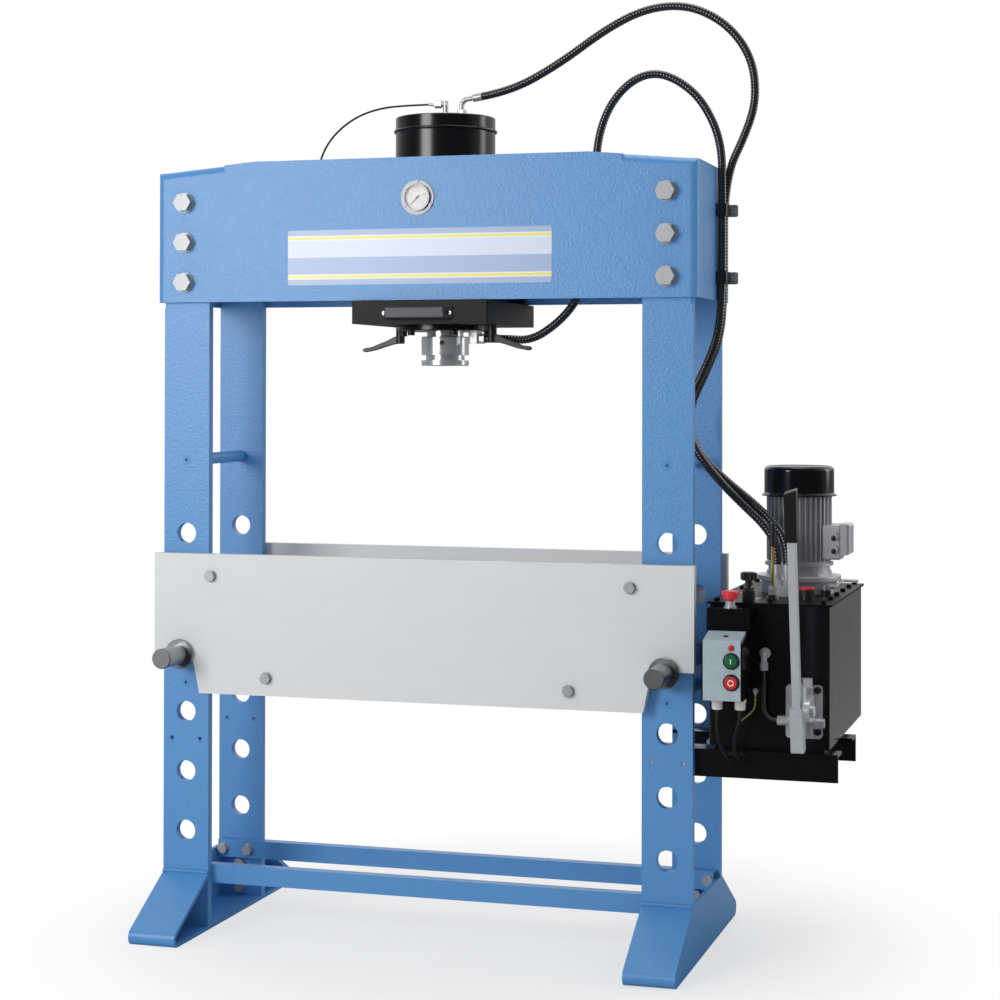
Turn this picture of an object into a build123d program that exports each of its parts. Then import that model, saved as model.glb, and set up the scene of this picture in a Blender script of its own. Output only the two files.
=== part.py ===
from build123d import *
import math
import os

# A workshop hydraulic press: a four-upright plate frame with a folded box beam, a cylinder
# on a carriage that rolls along the beam, a table that hangs on two pins, and a motor-driven
# power unit with a hand pump on two arms at the right.
# X runs to the right, Y to the back and Z up. The sizes below are in millimetres, counted
# from the press's centre line, the front faces of the front uprights and the floor.

# Frame
upright_width = 123.0
upright_thickness = 23.0
upright_drop = 23.0
clear_span = 1118.0
clear_depth = 319.0
pin_hole_diameter = 52.0
pin_hole_pitch = 150.0
first_pin_hole = 248.0
pin_hole_count = 6
table_hole_count = 4
arm_hole_diameter = 10.2
arm_hole_spacing = 76.6
arm_hole_height = 480.3
spacer_heights = (621.0, 1183.0)
spacer_diameter = 30.0

# Beam
beam_plate = 15.0
beam_bottom = 1581.0
beam_end_height = 327.0
beam_rise = 23.0
beam_flat = 860.0
beam_seam = 3.0
beam_bend = 20.0
bevel_clearance = 0.3
beam_flange_start = 513.0
beam_flange_leg = 40.0
beam_bolt_inset = 49.5
beam_bolt_pitch = 100.7
beam_bolt_count = 3
rail_width = 28.0
rail_height = 16.0
rail_lift = 59.0
rail_half = 545.0

# Feet and crossbars
foot_reach = 197.0
foot_height = 142.0
foot_plate = 10.0
foot_bend = 20.0
foot_lug = 12.0
crossbar_height = 46.0
crossbar_depth = 30.0
crossbar_wall = 3.0
crossbar_level = 115.0
crossbar_bolt_spacing = 71.0
foot_bolt_heights = (31.0, 96.0)

# Table and its pins
table_half = 692.0
table_plate = 25.0
table_gap = 9.0
table_over_pin = 252.25
table_ear_over_pin = 1.95
table_under_pin = 96.55
table_bottom_half = 569.0
table_waist_half = 590.0
table_upper_bolt_inset = (154.0, 54.8)
table_lower_bolt_inset = (181.0, 44.5)
table_spacer_diameter = 34.0
pin_diameter = 50.0
pin_collar_diameter = 74.0
pin_collar_width = 12.0
pin_front_reach = 145.0
pin_rear_reach = 12.0

# Cylinder and ram, which rest a little to the right of the centre
cylinder_x = 7.0
cylinder_diameter = 252.0
cylinder_bore = 200.0
cylinder_length = 518.0
head_height = 30.0
bead_width = 9.0
gland_diameter = 243.0
gland_height = 14.0
gland_spigot = 60.0
rod_diameter = 92.0
piston_height = 60.0
piston_head_gap = 12.0
nose_diameter = 120.0
nose_drops = (101.0, 87.5, 74.0, 28.0)
nose_bar_drop = 16.0
nose_groove_diameter = 98.0
nose_bore = 40.0
nose_bore_depth = 28.0
running_clearance = 0.05

# Carriage
carriage_width = 349.0
carriage_front = -24.0
carriage_height = 56.0
carriage_gap = 2.0
carriage_floor = 18.0
carriage_wall = 12.0
carriage_lip = 6.0
hanger_offset = 150.0
hanger_width = 44.0
hanger_thickness = 12.0
hanger_inset = 44.0
roller_diameter = 60.0
roller_width = 22.0
axle_diameter = 20.0
handle_length = 181.0
handle_height = 27.0
handle_depth = 28.0
handle_foot = 17.0
handle_x = 3.0
handle_screw_inset = 7.0
handle_lift = 26.0
clamp_offset = (149.0, 82.5)
clamp_arm_width = 14.0
# Side outline of a clamp lever's cranked arm, from its hub's axis outwards and from its hub's foot upwards
clamp_arm = ((-6, 4), (-6, 14), (4, 19.5), (16, 17.5), (30, 10.5), (50, 2.5), (72, -6), (86, -9.8), (97, -11.5),
             (102, -16), (98, -20.5), (86, -20), (70, -17), (50, -11), (30, -5), (12, -0.8), (0, 0.5))

# Power unit
arm_leg = 65.0
arm_wall = 7.0
arm_length = 446.0
arm_overhang = 20.0
arm_level = 450.0
tank_clearance = 34.0
tank_width = 284.0
tank_depth = 580.0
tank_front = 25.0
tank_wall = 4.0
tank_height = 333.0
tank_base = 10.0
tank_base_inset = 13.0
lid_thickness = 5.0
lid_overhang = 6.0
motor_inset = (164.0, 315.0)
bell_diameter = 186.0
bell_height = 30.0
flange_diameter = 206.0
flange_height = 13.0
motor_diameter = 160.0
motor_core = 132.0
motor_shield = 36.0
motor_body = 161.0
fin_count = 36
fin_thickness = 2.6
cover_diameter = 172.0
cover_flare = 6.0
cover_bend = 12.0
cover_height = 72.0
shaft_diameter = 24.0

# Controls on the front of the tank
estop_box_width = 101.0
estop_box_depth = 60.0
estop_box_height = 186.0
estop_box_drop = 5.0
estop_box_inset = 5.0
switch_width = 87.0
switch_height = 138.0
switch_depth = 95.0
switch_drop = 202.0
switch_slant = (69.0, 15.0)
switch_rim = 4.5
cover_wall = 6.0
button_diameter = 30.0
button_height = 9.0
lamp_diameter = 14.0
estop_diameter = 42.0

# Hoses, lines and cables
hose_diameter = 20.0
gauge_line_diameter = 5.0
cable_diameter = 9.0
earth_wire_diameter = 4.0

# Metric fasteners: shank, width across flats, head height, washer diameter, washer thickness
fastener = {
    "M8": (8.0, 13.0, 5.5, 16.0, 1.6),
    "M10": (10.0, 17.0, 6.4, 20.0, 2.0),
    "M16": (16.0, 24.0, 10.0, 30.0, 3.0),
    "M27": (27.0, 41.0, 17.0, 50.0, 4.0),
}
bolt_clearance = 0.5

# Places that follow from the sizes
beam_end_top = beam_bottom + beam_end_height
beam_top = beam_end_top + beam_rise
upright_top = beam_end_top - upright_drop
inner_x = clear_span / 2
outer_x = inner_x + upright_width
hole_x = (inner_x + outer_x) / 2
rear_y = upright_thickness + clear_depth
back_y = rear_y + upright_thickness
middle_y = back_y / 2
beam_half = outer_x + beam_plate
beam_slope = math.atan2(beam_top - beam_end_top, beam_half - beam_flat / 2)
pin_hole_heights = [first_pin_hole + k * pin_hole_pitch for k in range(pin_hole_count)]
pin_drop = (pin_hole_diameter - pin_diameter) / 2 - running_clearance
pin_height = pin_hole_heights[table_hole_count - 1] - pin_drop
table_top = pin_height + table_over_pin
table_ear_level = pin_height + table_ear_over_pin
table_bottom = pin_height - table_under_pin
table_upper_bolt = (table_half - table_upper_bolt_inset[0], table_top - table_upper_bolt_inset[1])
table_lower_bolt = (table_bottom_half - table_lower_bolt_inset[0], table_bottom + table_lower_bolt_inset[1])
carriage_top = beam_bottom - carriage_gap
carriage_bottom = carriage_top - carriage_height
cylinder_top = carriage_bottom + carriage_lip + cylinder_length
nose_levels = [carriage_bottom - drop for drop in nose_drops]
rail_level = beam_bottom + rail_lift
rail_top = rail_level + rail_height
axle_height = rail_top + roller_diameter / 2
arm_top = arm_level + arm_leg
tank_left = outer_x + tank_clearance
tank_right = tank_left + tank_width
tank_rear = tank_front + tank_depth
tank_bottom = arm_top + tank_base
tank_top = tank_bottom + tank_height
lid_top = tank_top + lid_thickness
motor_x = tank_left + motor_inset[0]
motor_y = tank_front + motor_inset[1]
flange_top = lid_top + bell_height + flange_height
body_bottom = flange_top + motor_shield
body_top = body_bottom + motor_body
cover_top = body_top + cover_height
terminal_reach = 130.0

# The origin is under the middle of the press without its hoses, on the floor
arm_end = tank_right + arm_overhang
origin_x = (arm_end - beam_half) / 2
origin_y = (tank_rear + lid_overhang - foot_reach) / 2


def block(x, y, z):
    """Box between three pairs of coordinates."""
    spans = [sorted(pair) for pair in (x, y, z)]
    middle = [(low + high) / 2 for low, high in spans]
    return Pos(*middle) * Box(*[high - low for low, high in spans])


turns = {"x": Rot(0, 90, 0), "y": Rot(-90, 0, 0), "z": Rot(0, 0, 0)}
directions = {"x": (1, 0, 0), "y": (0, 1, 0), "z": (0, 0, 1)}


def point(axis, at, along):
    """Point at a coordinate along an axis, with the two other coordinates in X, Y, Z order."""
    place = list(at)
    place.insert("xyz".index(axis), along)
    return tuple(place)


def rod(axis, at, radius, start, end):
    """Round bar along an axis."""
    return Pos(*point(axis, at, (start + end) / 2)) * turns[axis] * Cylinder(radius, abs(end - start))


def ring(axis, at, outer, inner, start, end):
    """Round bar with a bore right through it."""
    margin = 1.0
    low, high = sorted((start, end))
    return rod(axis, at, outer, low, high) - rod(axis, at, inner, low - margin, high + margin)


def hexagon(axis, at, flats, start, end):
    """Hexagonal bar along an axis."""
    low, high = sorted((start, end))
    bar = extrude(RegularPolygon(flats / 2, 6, major_radius=False), amount=high - low)
    return Pos(*point(axis, at, low)) * turns[axis] * bar


def prism(axis, corners, start, end):
    """Straight prism along an axis, from the corners of its outline in the plane across it."""
    low, high = sorted((start, end))
    outline = Polyline(*[point(axis, corner, low) for corner in corners], close=True)
    return extrude(make_face(outline), amount=high - low, dir=directions[axis])


def mirrored(shape, axis="x", at=0.0):
    """The same shape on the other side of a plane across an axis."""
    return mirror(shape, about=Plane(origin=point(axis, (0, 0), at), z_dir=directions[axis]))


def bolt(axis, at, face, side, size, grip, nut=True):
    """Hexagon bolt with its washer, and a nut on the far side. Its head stands on the face and points to the side."""
    shank, flats, head, washer, sheet = fastener[size]
    seat = face + side * sheet
    far = face - side * grip
    end = far - side * (sheet + head * 1.4) if nut else far
    whole = rod(axis, at, washer / 2, face, seat)
    whole += hexagon(axis, at, flats, seat, seat + side * head)
    whole += rod(axis, at, shank / 2, end, seat)
    if nut:
        whole += rod(axis, at, washer / 2, far, far - side * sheet)
        whole += hexagon(axis, at, flats, far - side * sheet, far - side * (sheet + head * 1.2))
    return whole


def bolt_hole(axis, at, size, start, end):
    """Clearance hole for a bolt, with a margin past both faces."""
    low, high = sorted((start, end))
    return rod(axis, at, fastener[size][0] / 2 + bolt_clearance, low - 1, high + 1)


def rounded(shape, axis, radius, keep=None):
    """The shape with its edges along an axis rounded; keep picks some of them."""
    edges = shape.edges().filter_by(getattr(Axis, axis.upper()))
    if keep:
        edges = edges.filter_by(keep)
    return fillet(edges, radius)


def swept(path, radius, bore=0.0):
    """Round bar or pipe along a path."""
    profile = Circle(radius)
    if bore:
        profile -= Circle(bore)
    return sweep(Plane(origin=path @ 0, z_dir=path % 0) * profile, path=path)


sides = (-1, 1)
beam_bolt_heights = [beam_bottom + beam_bolt_inset + k * beam_bolt_pitch for k in range(beam_bolt_count)]
arm_bolts = [hole_x - arm_hole_spacing / 2, hole_x + arm_hole_spacing / 2]
crossbar_bolts = [hole_x - crossbar_bolt_spacing / 2, hole_x + crossbar_bolt_spacing / 2]
crossbar_middle = crossbar_level + crossbar_height / 2


def beam_shell():
    """Front half of the box beam: one plate folded back at both ends and along the slopes."""
    seam_y = middle_y - beam_seam / 2
    inner_bend = beam_bend - beam_plate
    heights = (beam_bottom, beam_top)

    def plan(half, front, bend):
        return rounded(block((-half, half), (front, seam_y), heights), "z", bend, lambda e: e.center().Y < front + 1)

    outer = plan(beam_half, -beam_plate, beam_bend)
    inner = plan(outer_x, 0.0, inner_bend)
    flat = beam_flat / 2
    outline = [(-beam_half, beam_bottom), (beam_half, beam_bottom), (beam_half, beam_end_top),
               (flat, beam_top), (-flat, beam_top), (-beam_half, beam_end_top)]
    shell = (outer - inner) & prism("y", outline, -beam_plate, seam_y)

    # The flange folded back along the slope, drawn level from the end's top corner
    length = (beam_half - beam_flange_start) / math.cos(beam_slope)
    leg = block((-length, beam_plate), (-beam_plate, seam_y), (-beam_flange_leg, 0))
    leg = rounded(leg, "x", beam_bend, lambda e: e.center().Y < 0 and e.center().Z > -1)
    hollow = block((-length - 1, beam_plate + 1), (0, seam_y + 1), (-beam_flange_leg - 1, -beam_plate))
    hollow = rounded(hollow, "x", inner_bend, lambda e: e.center().Y < 1 and e.center().Z > -beam_plate - 1)
    strip = block((-length, beam_plate), (-beam_plate, 0), (-beam_bend, 1))
    corner = Pos(beam_half, 0, beam_end_top) * Rot(0, math.degrees(beam_slope), 0)
    flange = (corner * (leg - hollow)) & outer
    for turn in (lambda s: s, mirrored):
        shell = shell - turn(corner * strip) + turn(flange)
    for side in sides:
        for height in beam_bolt_heights:
            shell -= bolt_hole("y", (side * hole_x, height), "M27", -beam_plate, 0)
    return shell


def uprights(front):
    """Pair of flat uprights, front or rear, with their holes."""
    y0 = 0.0 if front else rear_y
    y1 = y0 + upright_thickness
    face = y0 if front else y1
    inward = 1 if front else -1
    pair = []
    for side in sides:
        plate = block((side * inner_x, side * outer_x), (y0, y1), (foot_plate, upright_top))
        # Beside the foot's side plate the upright is narrower
        plate -= block((side * (outer_x - foot_plate), side * (outer_x + 1)), (y0 - 1, y1 + 1), (0, foot_height))
        # Its outer edge is bevelled where the beam's bend passes it
        bevel = beam_bend - beam_plate + bevel_clearance
        corner = [(side * outer_x, face), (side * (outer_x - bevel), face), (side * outer_x, face + inward * bevel)]
        plate -= prism("z", corner, beam_bottom - beam_plate, upright_top + 1)
        for height in pin_hole_heights:
            plate -= rod("y", (side * hole_x, height), pin_hole_diameter / 2, y0 - 1, y1 + 1)
        for height in beam_bolt_heights:
            plate -= bolt_hole("y", (side * hole_x, height), "M27", y0, y1)
        for x in arm_bolts:
            plate -= rod("y", (side * x, arm_hole_height), arm_hole_diameter / 2, y0 - 1, y1 + 1)
        for x in crossbar_bolts:
            plate -= bolt_hole("y", (side * x, crossbar_middle), "M16", y0, y1)
        for height in spacer_heights:
            plate -= countersink(side * hole_x, height, face, inward, bolt_clearance)
        if not front:
            for height in foot_bolt_heights:
                plate -= bolt_hole("y", (side * hole_x, height), "M16", y0, y1)
        pair.append(plate)
    return pair


screw_shank = 12.0
screw_head = 26.5
screw_depth = 7.5


def countersink(x, z, face, inward, clearance):
    """Countersunk head and shank of a spacer screw, or with a clearance the hole for it."""
    cone = Cone(screw_head / 2, screw_shank / 2, screw_depth)
    turn = Rot(-90, 0, 0) if inward > 0 else Rot(90, 0, 0)
    head = Pos(x, face + inward * screw_depth / 2, z) * turn * cone
    reach = upright_thickness + (1 if clearance else 25.0)
    return head + rod("y", (x, z), screw_shank / 2 + clearance, face, face + inward * reach)


def spacer_screws():
    """Countersunk socket screws that hold the spacer rods between the uprights."""
    screws = []
    for side in sides:
        for height in spacer_heights:
            for face, inward in ((0.0, 1), (back_y, -1)):
                screw = countersink(side * hole_x, height, face, inward, 0.0)
                screws.append(screw - hexagon("y", (side * hole_x, height), 8.0, face, face + inward * 5.0))
    return screws


def frame_ties():
    """Two crossbars of box section and four round spacer rods, between the left and right or front and rear."""
    half = outer_x - foot_plate - 1
    heights = (crossbar_level, crossbar_level + crossbar_height)
    bars = []
    for front, back in ((upright_thickness, upright_thickness + crossbar_depth), (rear_y - crossbar_depth, rear_y)):
        bar = block((-half, half), (front, back), heights)
        bar -= block((-half - 1, half + 1), (front + crossbar_wall, back - crossbar_wall),
                     (heights[0] + crossbar_wall, heights[1] - crossbar_wall))
        for side in sides:
            for x in crossbar_bolts:
                bar -= bolt_hole("y", (side * x, crossbar_middle), "M16", front, back)
        bars.append(bar)
    for side in sides:
        for height in spacer_heights:
            spacer = rod("y", (side * hole_x, height), spacer_diameter / 2, upright_thickness, rear_y)
            for end in (upright_thickness, rear_y):
                spacer -= rod("y", (side * hole_x, height), screw_shank / 2 + bolt_clearance, end - 28, end + 28)
            bars.append(spacer)
    return bars


def foot(side):
    """One foot: a strip folded at both tips, closed by a plate on its outer side."""
    rise = math.atan2(foot_height - foot_bend, foot_reach - foot_bend)
    rise -= math.asin(foot_bend / math.hypot(foot_height - foot_bend, foot_reach - foot_bend))
    toe = -foot_height / math.tan(rise)
    toe_inset = foot_plate / math.tan(rise / 2)
    inner_top = foot_height - foot_plate / math.cos(rise)
    outline = [(0, foot_height), (toe, 0), (back_y - toe, 0), (back_y, foot_height)]
    hollow = [(0, inner_top), (toe + toe_inset, foot_plate), (back_y - toe - toe_inset, foot_plate),
              (back_y, inner_top), (back_y, foot_height + 1), (0, foot_height + 1)]

    def low(edge):
        return edge.center().Z < foot_plate + 1

    shell = rounded(prism("x", outline, side * inner_x, side * outer_x), "x", foot_bend, low)
    inside = prism("x", hollow, side * (inner_x - 1), side * (outer_x - foot_plate))
    shell -= rounded(inside, "x", foot_bend - foot_plate, low)

    # Weld bead where the front slope meets the upright
    bead = rod("x", (0, foot_height), foot_plate / 2, side * inner_x, side * outer_x)
    bead &= block((side * inner_x, side * outer_x), (-foot_plate, 0), (foot_height - 20, foot_height + 20))
    shell += bead

    # Lug behind the rear upright, welded to the floor strip
    lug = block((side * (inner_x + foot_lug), side * (outer_x - foot_plate)), (back_y, back_y + foot_lug),
                (foot_plate - 1, foot_bolt_heights[-1] + 1.6 * foot_lug))
    for height in foot_bolt_heights:
        lug -= bolt_hole("y", (side * hole_x, height), "M16", back_y, back_y + foot_lug)
    return shell + lug


def frame_bolts():
    """Beam, crossbar and foot bolts of the frame."""
    bolts = []
    for side in sides:
        for height in beam_bolt_heights:
            grip = beam_plate + upright_thickness
            bolts.append(bolt("y", (side * hole_x, height), -beam_plate, -1, "M27", grip))
            bolts.append(bolt("y", (side * hole_x, height), back_y + beam_plate, 1, "M27", grip))
        for x in crossbar_bolts:
            grip = crossbar_depth + upright_thickness - 4
            at = (side * x, crossbar_middle)
            bolts.append(bolt("y", at, upright_thickness + crossbar_depth, 1, "M16", grip, nut=False))
            bolts.append(bolt("y", at, rear_y - crossbar_depth, -1, "M16", grip, nut=False))
        for height in foot_bolt_heights:
            at = (side * hole_x, height)
            bolts.append(bolt("y", at, rear_y, -1, "M16", upright_thickness + foot_lug))
    for x in arm_bolts:
        at = (x, arm_hole_height)
        grip = arm_wall + upright_thickness
        bolts.append(bolt("y", at, upright_thickness + arm_wall, 1, "M10", grip - 2, nut=False))
        bolts.append(bolt("y", at, rear_y - arm_wall, -1, "M10", grip - 2, nut=False))
    return bolts + spacer_screws()


def beam_rails():
    """Rails welded inside the beam plates, with an end stop at each end, for the carriage's rollers."""
    rails = []
    stop = 12.0
    for y in ((0.0, rail_width), (back_y - rail_width, back_y)):
        rail = block((-rail_half, rail_half), y, (rail_level, rail_top))
        for side in sides:
            rail += block((side * rail_half, side * (rail_half - stop)), y, (rail_level, axle_height))
        rails.append(rail)
    return rails


# Pressure gauge in the middle of the beam
gauge_drop = 100.0
gauge_height = beam_top - gauge_drop
gauge_flange = 85.0
gauge_dial = 62.0
gauge_case_depth = 45.0
gauge_bezel = 9.0
gauge_wall = 2.5
gauge_glass = 2.0
pointer_length = 23.0
pointer_shaft = 2.0


def gauge():
    """Case with its flange, dial, glass and pointer."""
    at = (0.0, gauge_height)
    front = -beam_plate - gauge_bezel
    bezel = gauge_dial / 2 + gauge_wall
    floor_y = -beam_plate + 1.0
    case = rod("y", at, bezel, front, front + gauge_case_depth)
    case -= rod("y", at, gauge_dial / 2, front - 1, floor_y)
    case += ring("y", at, gauge_flange / 2, bezel - 0.5, -beam_plate - 3, -beam_plate)
    for turn in (90, 210, 330):
        spot = (38.5 * math.cos(math.radians(turn)), gauge_height + 38.5 * math.sin(math.radians(turn)))
        case += rod("y", spot, 4.2, -beam_plate - 5.5, -beam_plate - 2)
    case -= rod("y", at, pointer_shaft / 2 + running_clearance, floor_y - 1, floor_y + 8)
    # Back connection with an elbow that points to the left
    back = front + gauge_case_depth
    case += hexagon("y", at, 17.0, back, back + 9)
    case += block((-8, 8), (back + 9, back + 23), (gauge_height - 8, gauge_height + 8))
    case += rod("x", (back + 16, gauge_height), 5.0, -19, -7)
    dial = ring("y", at, gauge_dial / 2 - 0.1, pointer_shaft / 2 + running_clearance, floor_y - 2, floor_y)
    glass = rod("y", at, gauge_dial / 2 - 0.1, front + 1, front + 1 + gauge_glass)
    # The pointer rests at zero, at the lower left
    blade = prism("y", [(-2.2, -7), (2.2, -7), (0.5, pointer_length), (-0.5, pointer_length)], -0.4, 0.4)
    blade = Rot(0, -135, 0) * blade
    pointer = Pos(0, floor_y - 3.2, gauge_height) * blade
    pointer += rod("y", at, 3.2, floor_y - 4.2, floor_y - 2.4)
    pointer += rod("y", at, pointer_shaft / 2, floor_y - 4.2, floor_y + 6)
    return case, dial, glass, pointer


gauge_back = -beam_plate - gauge_bezel + gauge_case_depth


# Clamps that hold both hoses against the beam's right end
clamp_lifts = (222.0, 56.0)
clamp_heights = [beam_bottom + lift for lift in clamp_lifts]
clamp_height = 30.0
clamp_hose_x = beam_half + 13.5
clamp_hose_ys = (212.0, 234.0)
clamp_band = 2.6
clamp_play = 1.0


def hose_clamps():
    """Rubber bands around the two hoses and the zinc plates and bolts that hold them."""
    bands, metal = [], []
    hole = hose_diameter / 2 + clamp_play
    front, back = clamp_hose_ys
    for height in clamp_heights:
        z = (height - clamp_height / 2, height + clamp_height / 2)
        outer = block((beam_half, clamp_hose_x + hole + clamp_band),
                      (front - hole - clamp_band, back + hole + clamp_band), z)
        outer = rounded(outer, "z", 8.0, lambda e: e.center().X > clamp_hose_x)
        inner = block((clamp_hose_x - hole, clamp_hose_x + hole), (front, back), (z[0] - 1, z[1] + 1))
        for y in clamp_hose_ys:
            inner += rod("z", (clamp_hose_x, y), hole, z[0] - 1, z[1] + 1)
        bands.append(outer - inner)
        ear = back + hole + clamp_band
        plate = block((beam_half, beam_half + 46), (ear, ear + 3.5), z)
        plate = rounded(plate, "y", 5.0, lambda e: e.center().X > beam_half + 40)
        at = (beam_half + 36.5, height)
        metal.append(plate - bolt_hole("y", at, "M8", ear, ear + 3.5))
        metal.append(bolt("y", at, ear, -1, "M8", 3.5))
    return bands, metal


def carriage_box():
    """Carriage under the beam: an open tray with the cylinder's seat, ribs and the roller hangers."""
    half = carriage_width / 2
    x = (cylinder_x - half, cylinder_x + half)
    y = (carriage_front, back_y - carriage_front)
    tray = rounded(block(x, y, (carriage_bottom, carriage_top)), "z", 3.0)
    wall = carriage_wall
    floor_top = carriage_bottom + carriage_floor
    tray -= block((x[0] + wall, x[1] - wall), (y[0] + wall, y[1] - wall), (floor_top, carriage_top + 1))
    centre = (cylinder_x, middle_y)
    tray -= rod("z", centre, cylinder_bore / 2 + 1, carriage_bottom - 1, floor_top + 1)
    tray -= rod("z", centre, cylinder_diameter / 2 + 0.3, carriage_bottom + carriage_lip, floor_top + 1)
    for side in sides:
        rib_x = cylinder_x + side * hanger_offset
        tray += block((rib_x - 6, rib_x + 6), (y[0] + wall / 2, y[1] - wall / 2), (floor_top - 1, carriage_top))
        for inset in (hanger_inset, back_y - hanger_inset - hanger_thickness):
            hanger = block((rib_x - hanger_width / 2, rib_x + hanger_width / 2), (inset, inset + hanger_thickness),
                           (floor_top - 1, axle_height + hanger_width / 2))
            hanger = rounded(hanger, "y", 12.0, lambda e: e.center().Z > axle_height)
            tray += hanger
            tray -= rod("y", (rib_x, axle_height), axle_diameter / 2 + running_clearance,
                        inset - 1, inset + hanger_thickness + 1)
        # Clamp stud's hole and the nut welded over it
        stud = (cylinder_x + side * clamp_offset[0], middle_y - side * clamp_offset[1])
        tray += rod("z", stud, 12.0, floor_top - 1, floor_top + 12)
        tray -= rod("z", stud, clamp_stud / 2 + running_clearance, carriage_bottom - 1, floor_top + 12)
    for side in sides:
        spot = (handle_x + side * handle_screw_x, handle_middle)
        tray -= rod("y", spot, 3.3, carriage_front - 1, carriage_front + wall + 1)
    for k in range(gland_screw_count):
        tray -= rod("z", gland_screw_spot(k), 6.3, carriage_bottom - 1, floor_top)
    return tray


clamp_stud = 12.0
handle_screw_x = handle_length / 2 - handle_screw_inset
handle_middle = carriage_bottom + handle_lift


def wheelset(side):
    """Axle with a flanged roller at each end, on the rails inside the beam."""
    at = (cylinder_x + side * hanger_offset, axle_height)
    axle = rod("y", at, axle_diameter / 2, 4.0, back_y - 4.0)
    radius = roller_diameter / 2 - running_clearance
    wheel = rod("y", at, radius, 5.5, 5.5 + roller_width)
    wheel += rod("y", at, radius + 6, rail_width + 1, rail_width + 6)
    wheel -= ring("y", at, radius - 5, axle_diameter / 2 + 6, 4.0, 8.5)
    return axle + wheel + mirrored(wheel, "y", middle_y)


def carriage_handle():
    """Flat bow handle on the carriage's front, raised between its two screw feet."""
    half = handle_length / 2
    front = carriage_front - handle_depth
    grip = half - handle_foot
    z = (handle_middle - handle_height / 2, handle_middle + handle_height / 2)
    profile = [(-half, carriage_front), (-half, carriage_front - 3), (-grip, front), (grip, front),
               (half, carriage_front - 3), (half, carriage_front), (grip - 8, carriage_front), (grip - 8, front + 5),
               (8 - grip, front + 5), (8 - grip, carriage_front)]
    bow = prism("z", [(x + handle_x, y) for x, y in profile], *z)
    bow = rounded(bow, "x", 3.0, lambda e: e.center().Y < front + 1)
    for side in sides:
        spot = (handle_x + side * handle_screw_x, handle_middle)
        bow -= rod("y", spot, 6.2, front - 1, carriage_front - 3)
        bow -= rod("y", spot, 3.4, front - 1, carriage_front + 1)
    return bow


def carriage_screws():
    """Handle screws, and the socket screws that clamp the gland flange and the tray's lip to the tube."""
    screws = []
    for side in sides:
        spot = (handle_x + side * handle_screw_x, handle_middle)
        screw = rod("y", spot, 5.2, carriage_front - 3 - 4, carriage_front - 3)
        screw -= hexagon("y", spot, 4.0, carriage_front - 8, carriage_front - 4.5)
        screws.append(screw + rod("y", spot, 3.0, carriage_front - 4, carriage_front + carriage_wall))
    under = carriage_bottom - gland_height
    for k in range(gland_screw_count):
        spot = gland_screw_spot(k)
        screw = rod("z", spot, 9.0, under - 12, under)
        screw -= hexagon("z", spot, 10.0, under - 13, under - 6)
        screws.append(screw + rod("z", spot, 6.0, under - 1, carriage_bottom + carriage_lip + 20))
    return screws


gland_screw_count = 6
gland_screw_turn = -1.0
gland_screw_circle = 224.0


def gland_screw_spot(k):
    """Place of one of the gland's screws."""
    return polar((cylinder_x, middle_y), gland_screw_circle / 2, gland_screw_turn + 360 / gland_screw_count * k)


def cylinder():
    """Cylinder tube with its head, weld bead and the gland flange that the rod runs in."""
    centre = (cylinder_x, middle_y)
    tube_bottom = carriage_bottom + carriage_lip
    tube_top = cylinder_top - head_height
    outer = cylinder_diameter / 2
    tube = ring("z", centre, outer, cylinder_bore / 2, tube_bottom, tube_top)
    head = rod("z", centre, outer, tube_top, cylinder_top)
    head = chamfer(head.edges().group_by(Axis.Z)[-1], 2.0)
    head += rod("z", centre, cylinder_bore / 2 - 0.1, tube_top - 6, tube_top)
    bead = rod("z", centre, outer + 1.6, tube_top - bead_width / 2, tube_top + bead_width / 2)
    bead = chamfer(bead.edges().filter_by(GeomType.CIRCLE), 1.5)
    bead -= rod("z", centre, outer - 0.5, tube_top - bead_width, tube_top + bead_width)
    bead -= rod("z", centre, outer + 3, tube_top, tube_top + bead_width)
    tube += bead
    gland = rod("z", centre, gland_diameter / 2, carriage_bottom - gland_height, carriage_bottom)
    gland = chamfer(gland.edges().group_by(Axis.Z)[0], 2.0)
    gland += rod("z", centre, cylinder_bore / 2 - running_clearance, carriage_bottom - 1, carriage_bottom + gland_spigot)
    gland -= rod("z", centre, rod_diameter / 2 + running_clearance,
                 carriage_bottom - gland_height - 1, carriage_bottom + gland_spigot + 1)
    for k in range(gland_screw_count):
        spot = gland_screw_spot(k)
        gland -= rod("z", spot, 6.3, carriage_bottom - gland_height - 1, carriage_bottom + 1)
        tube -= rod("z", spot, 6.3, tube_bottom - 1, tube_bottom + 22)
    return [tube, head, gland]


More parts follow.
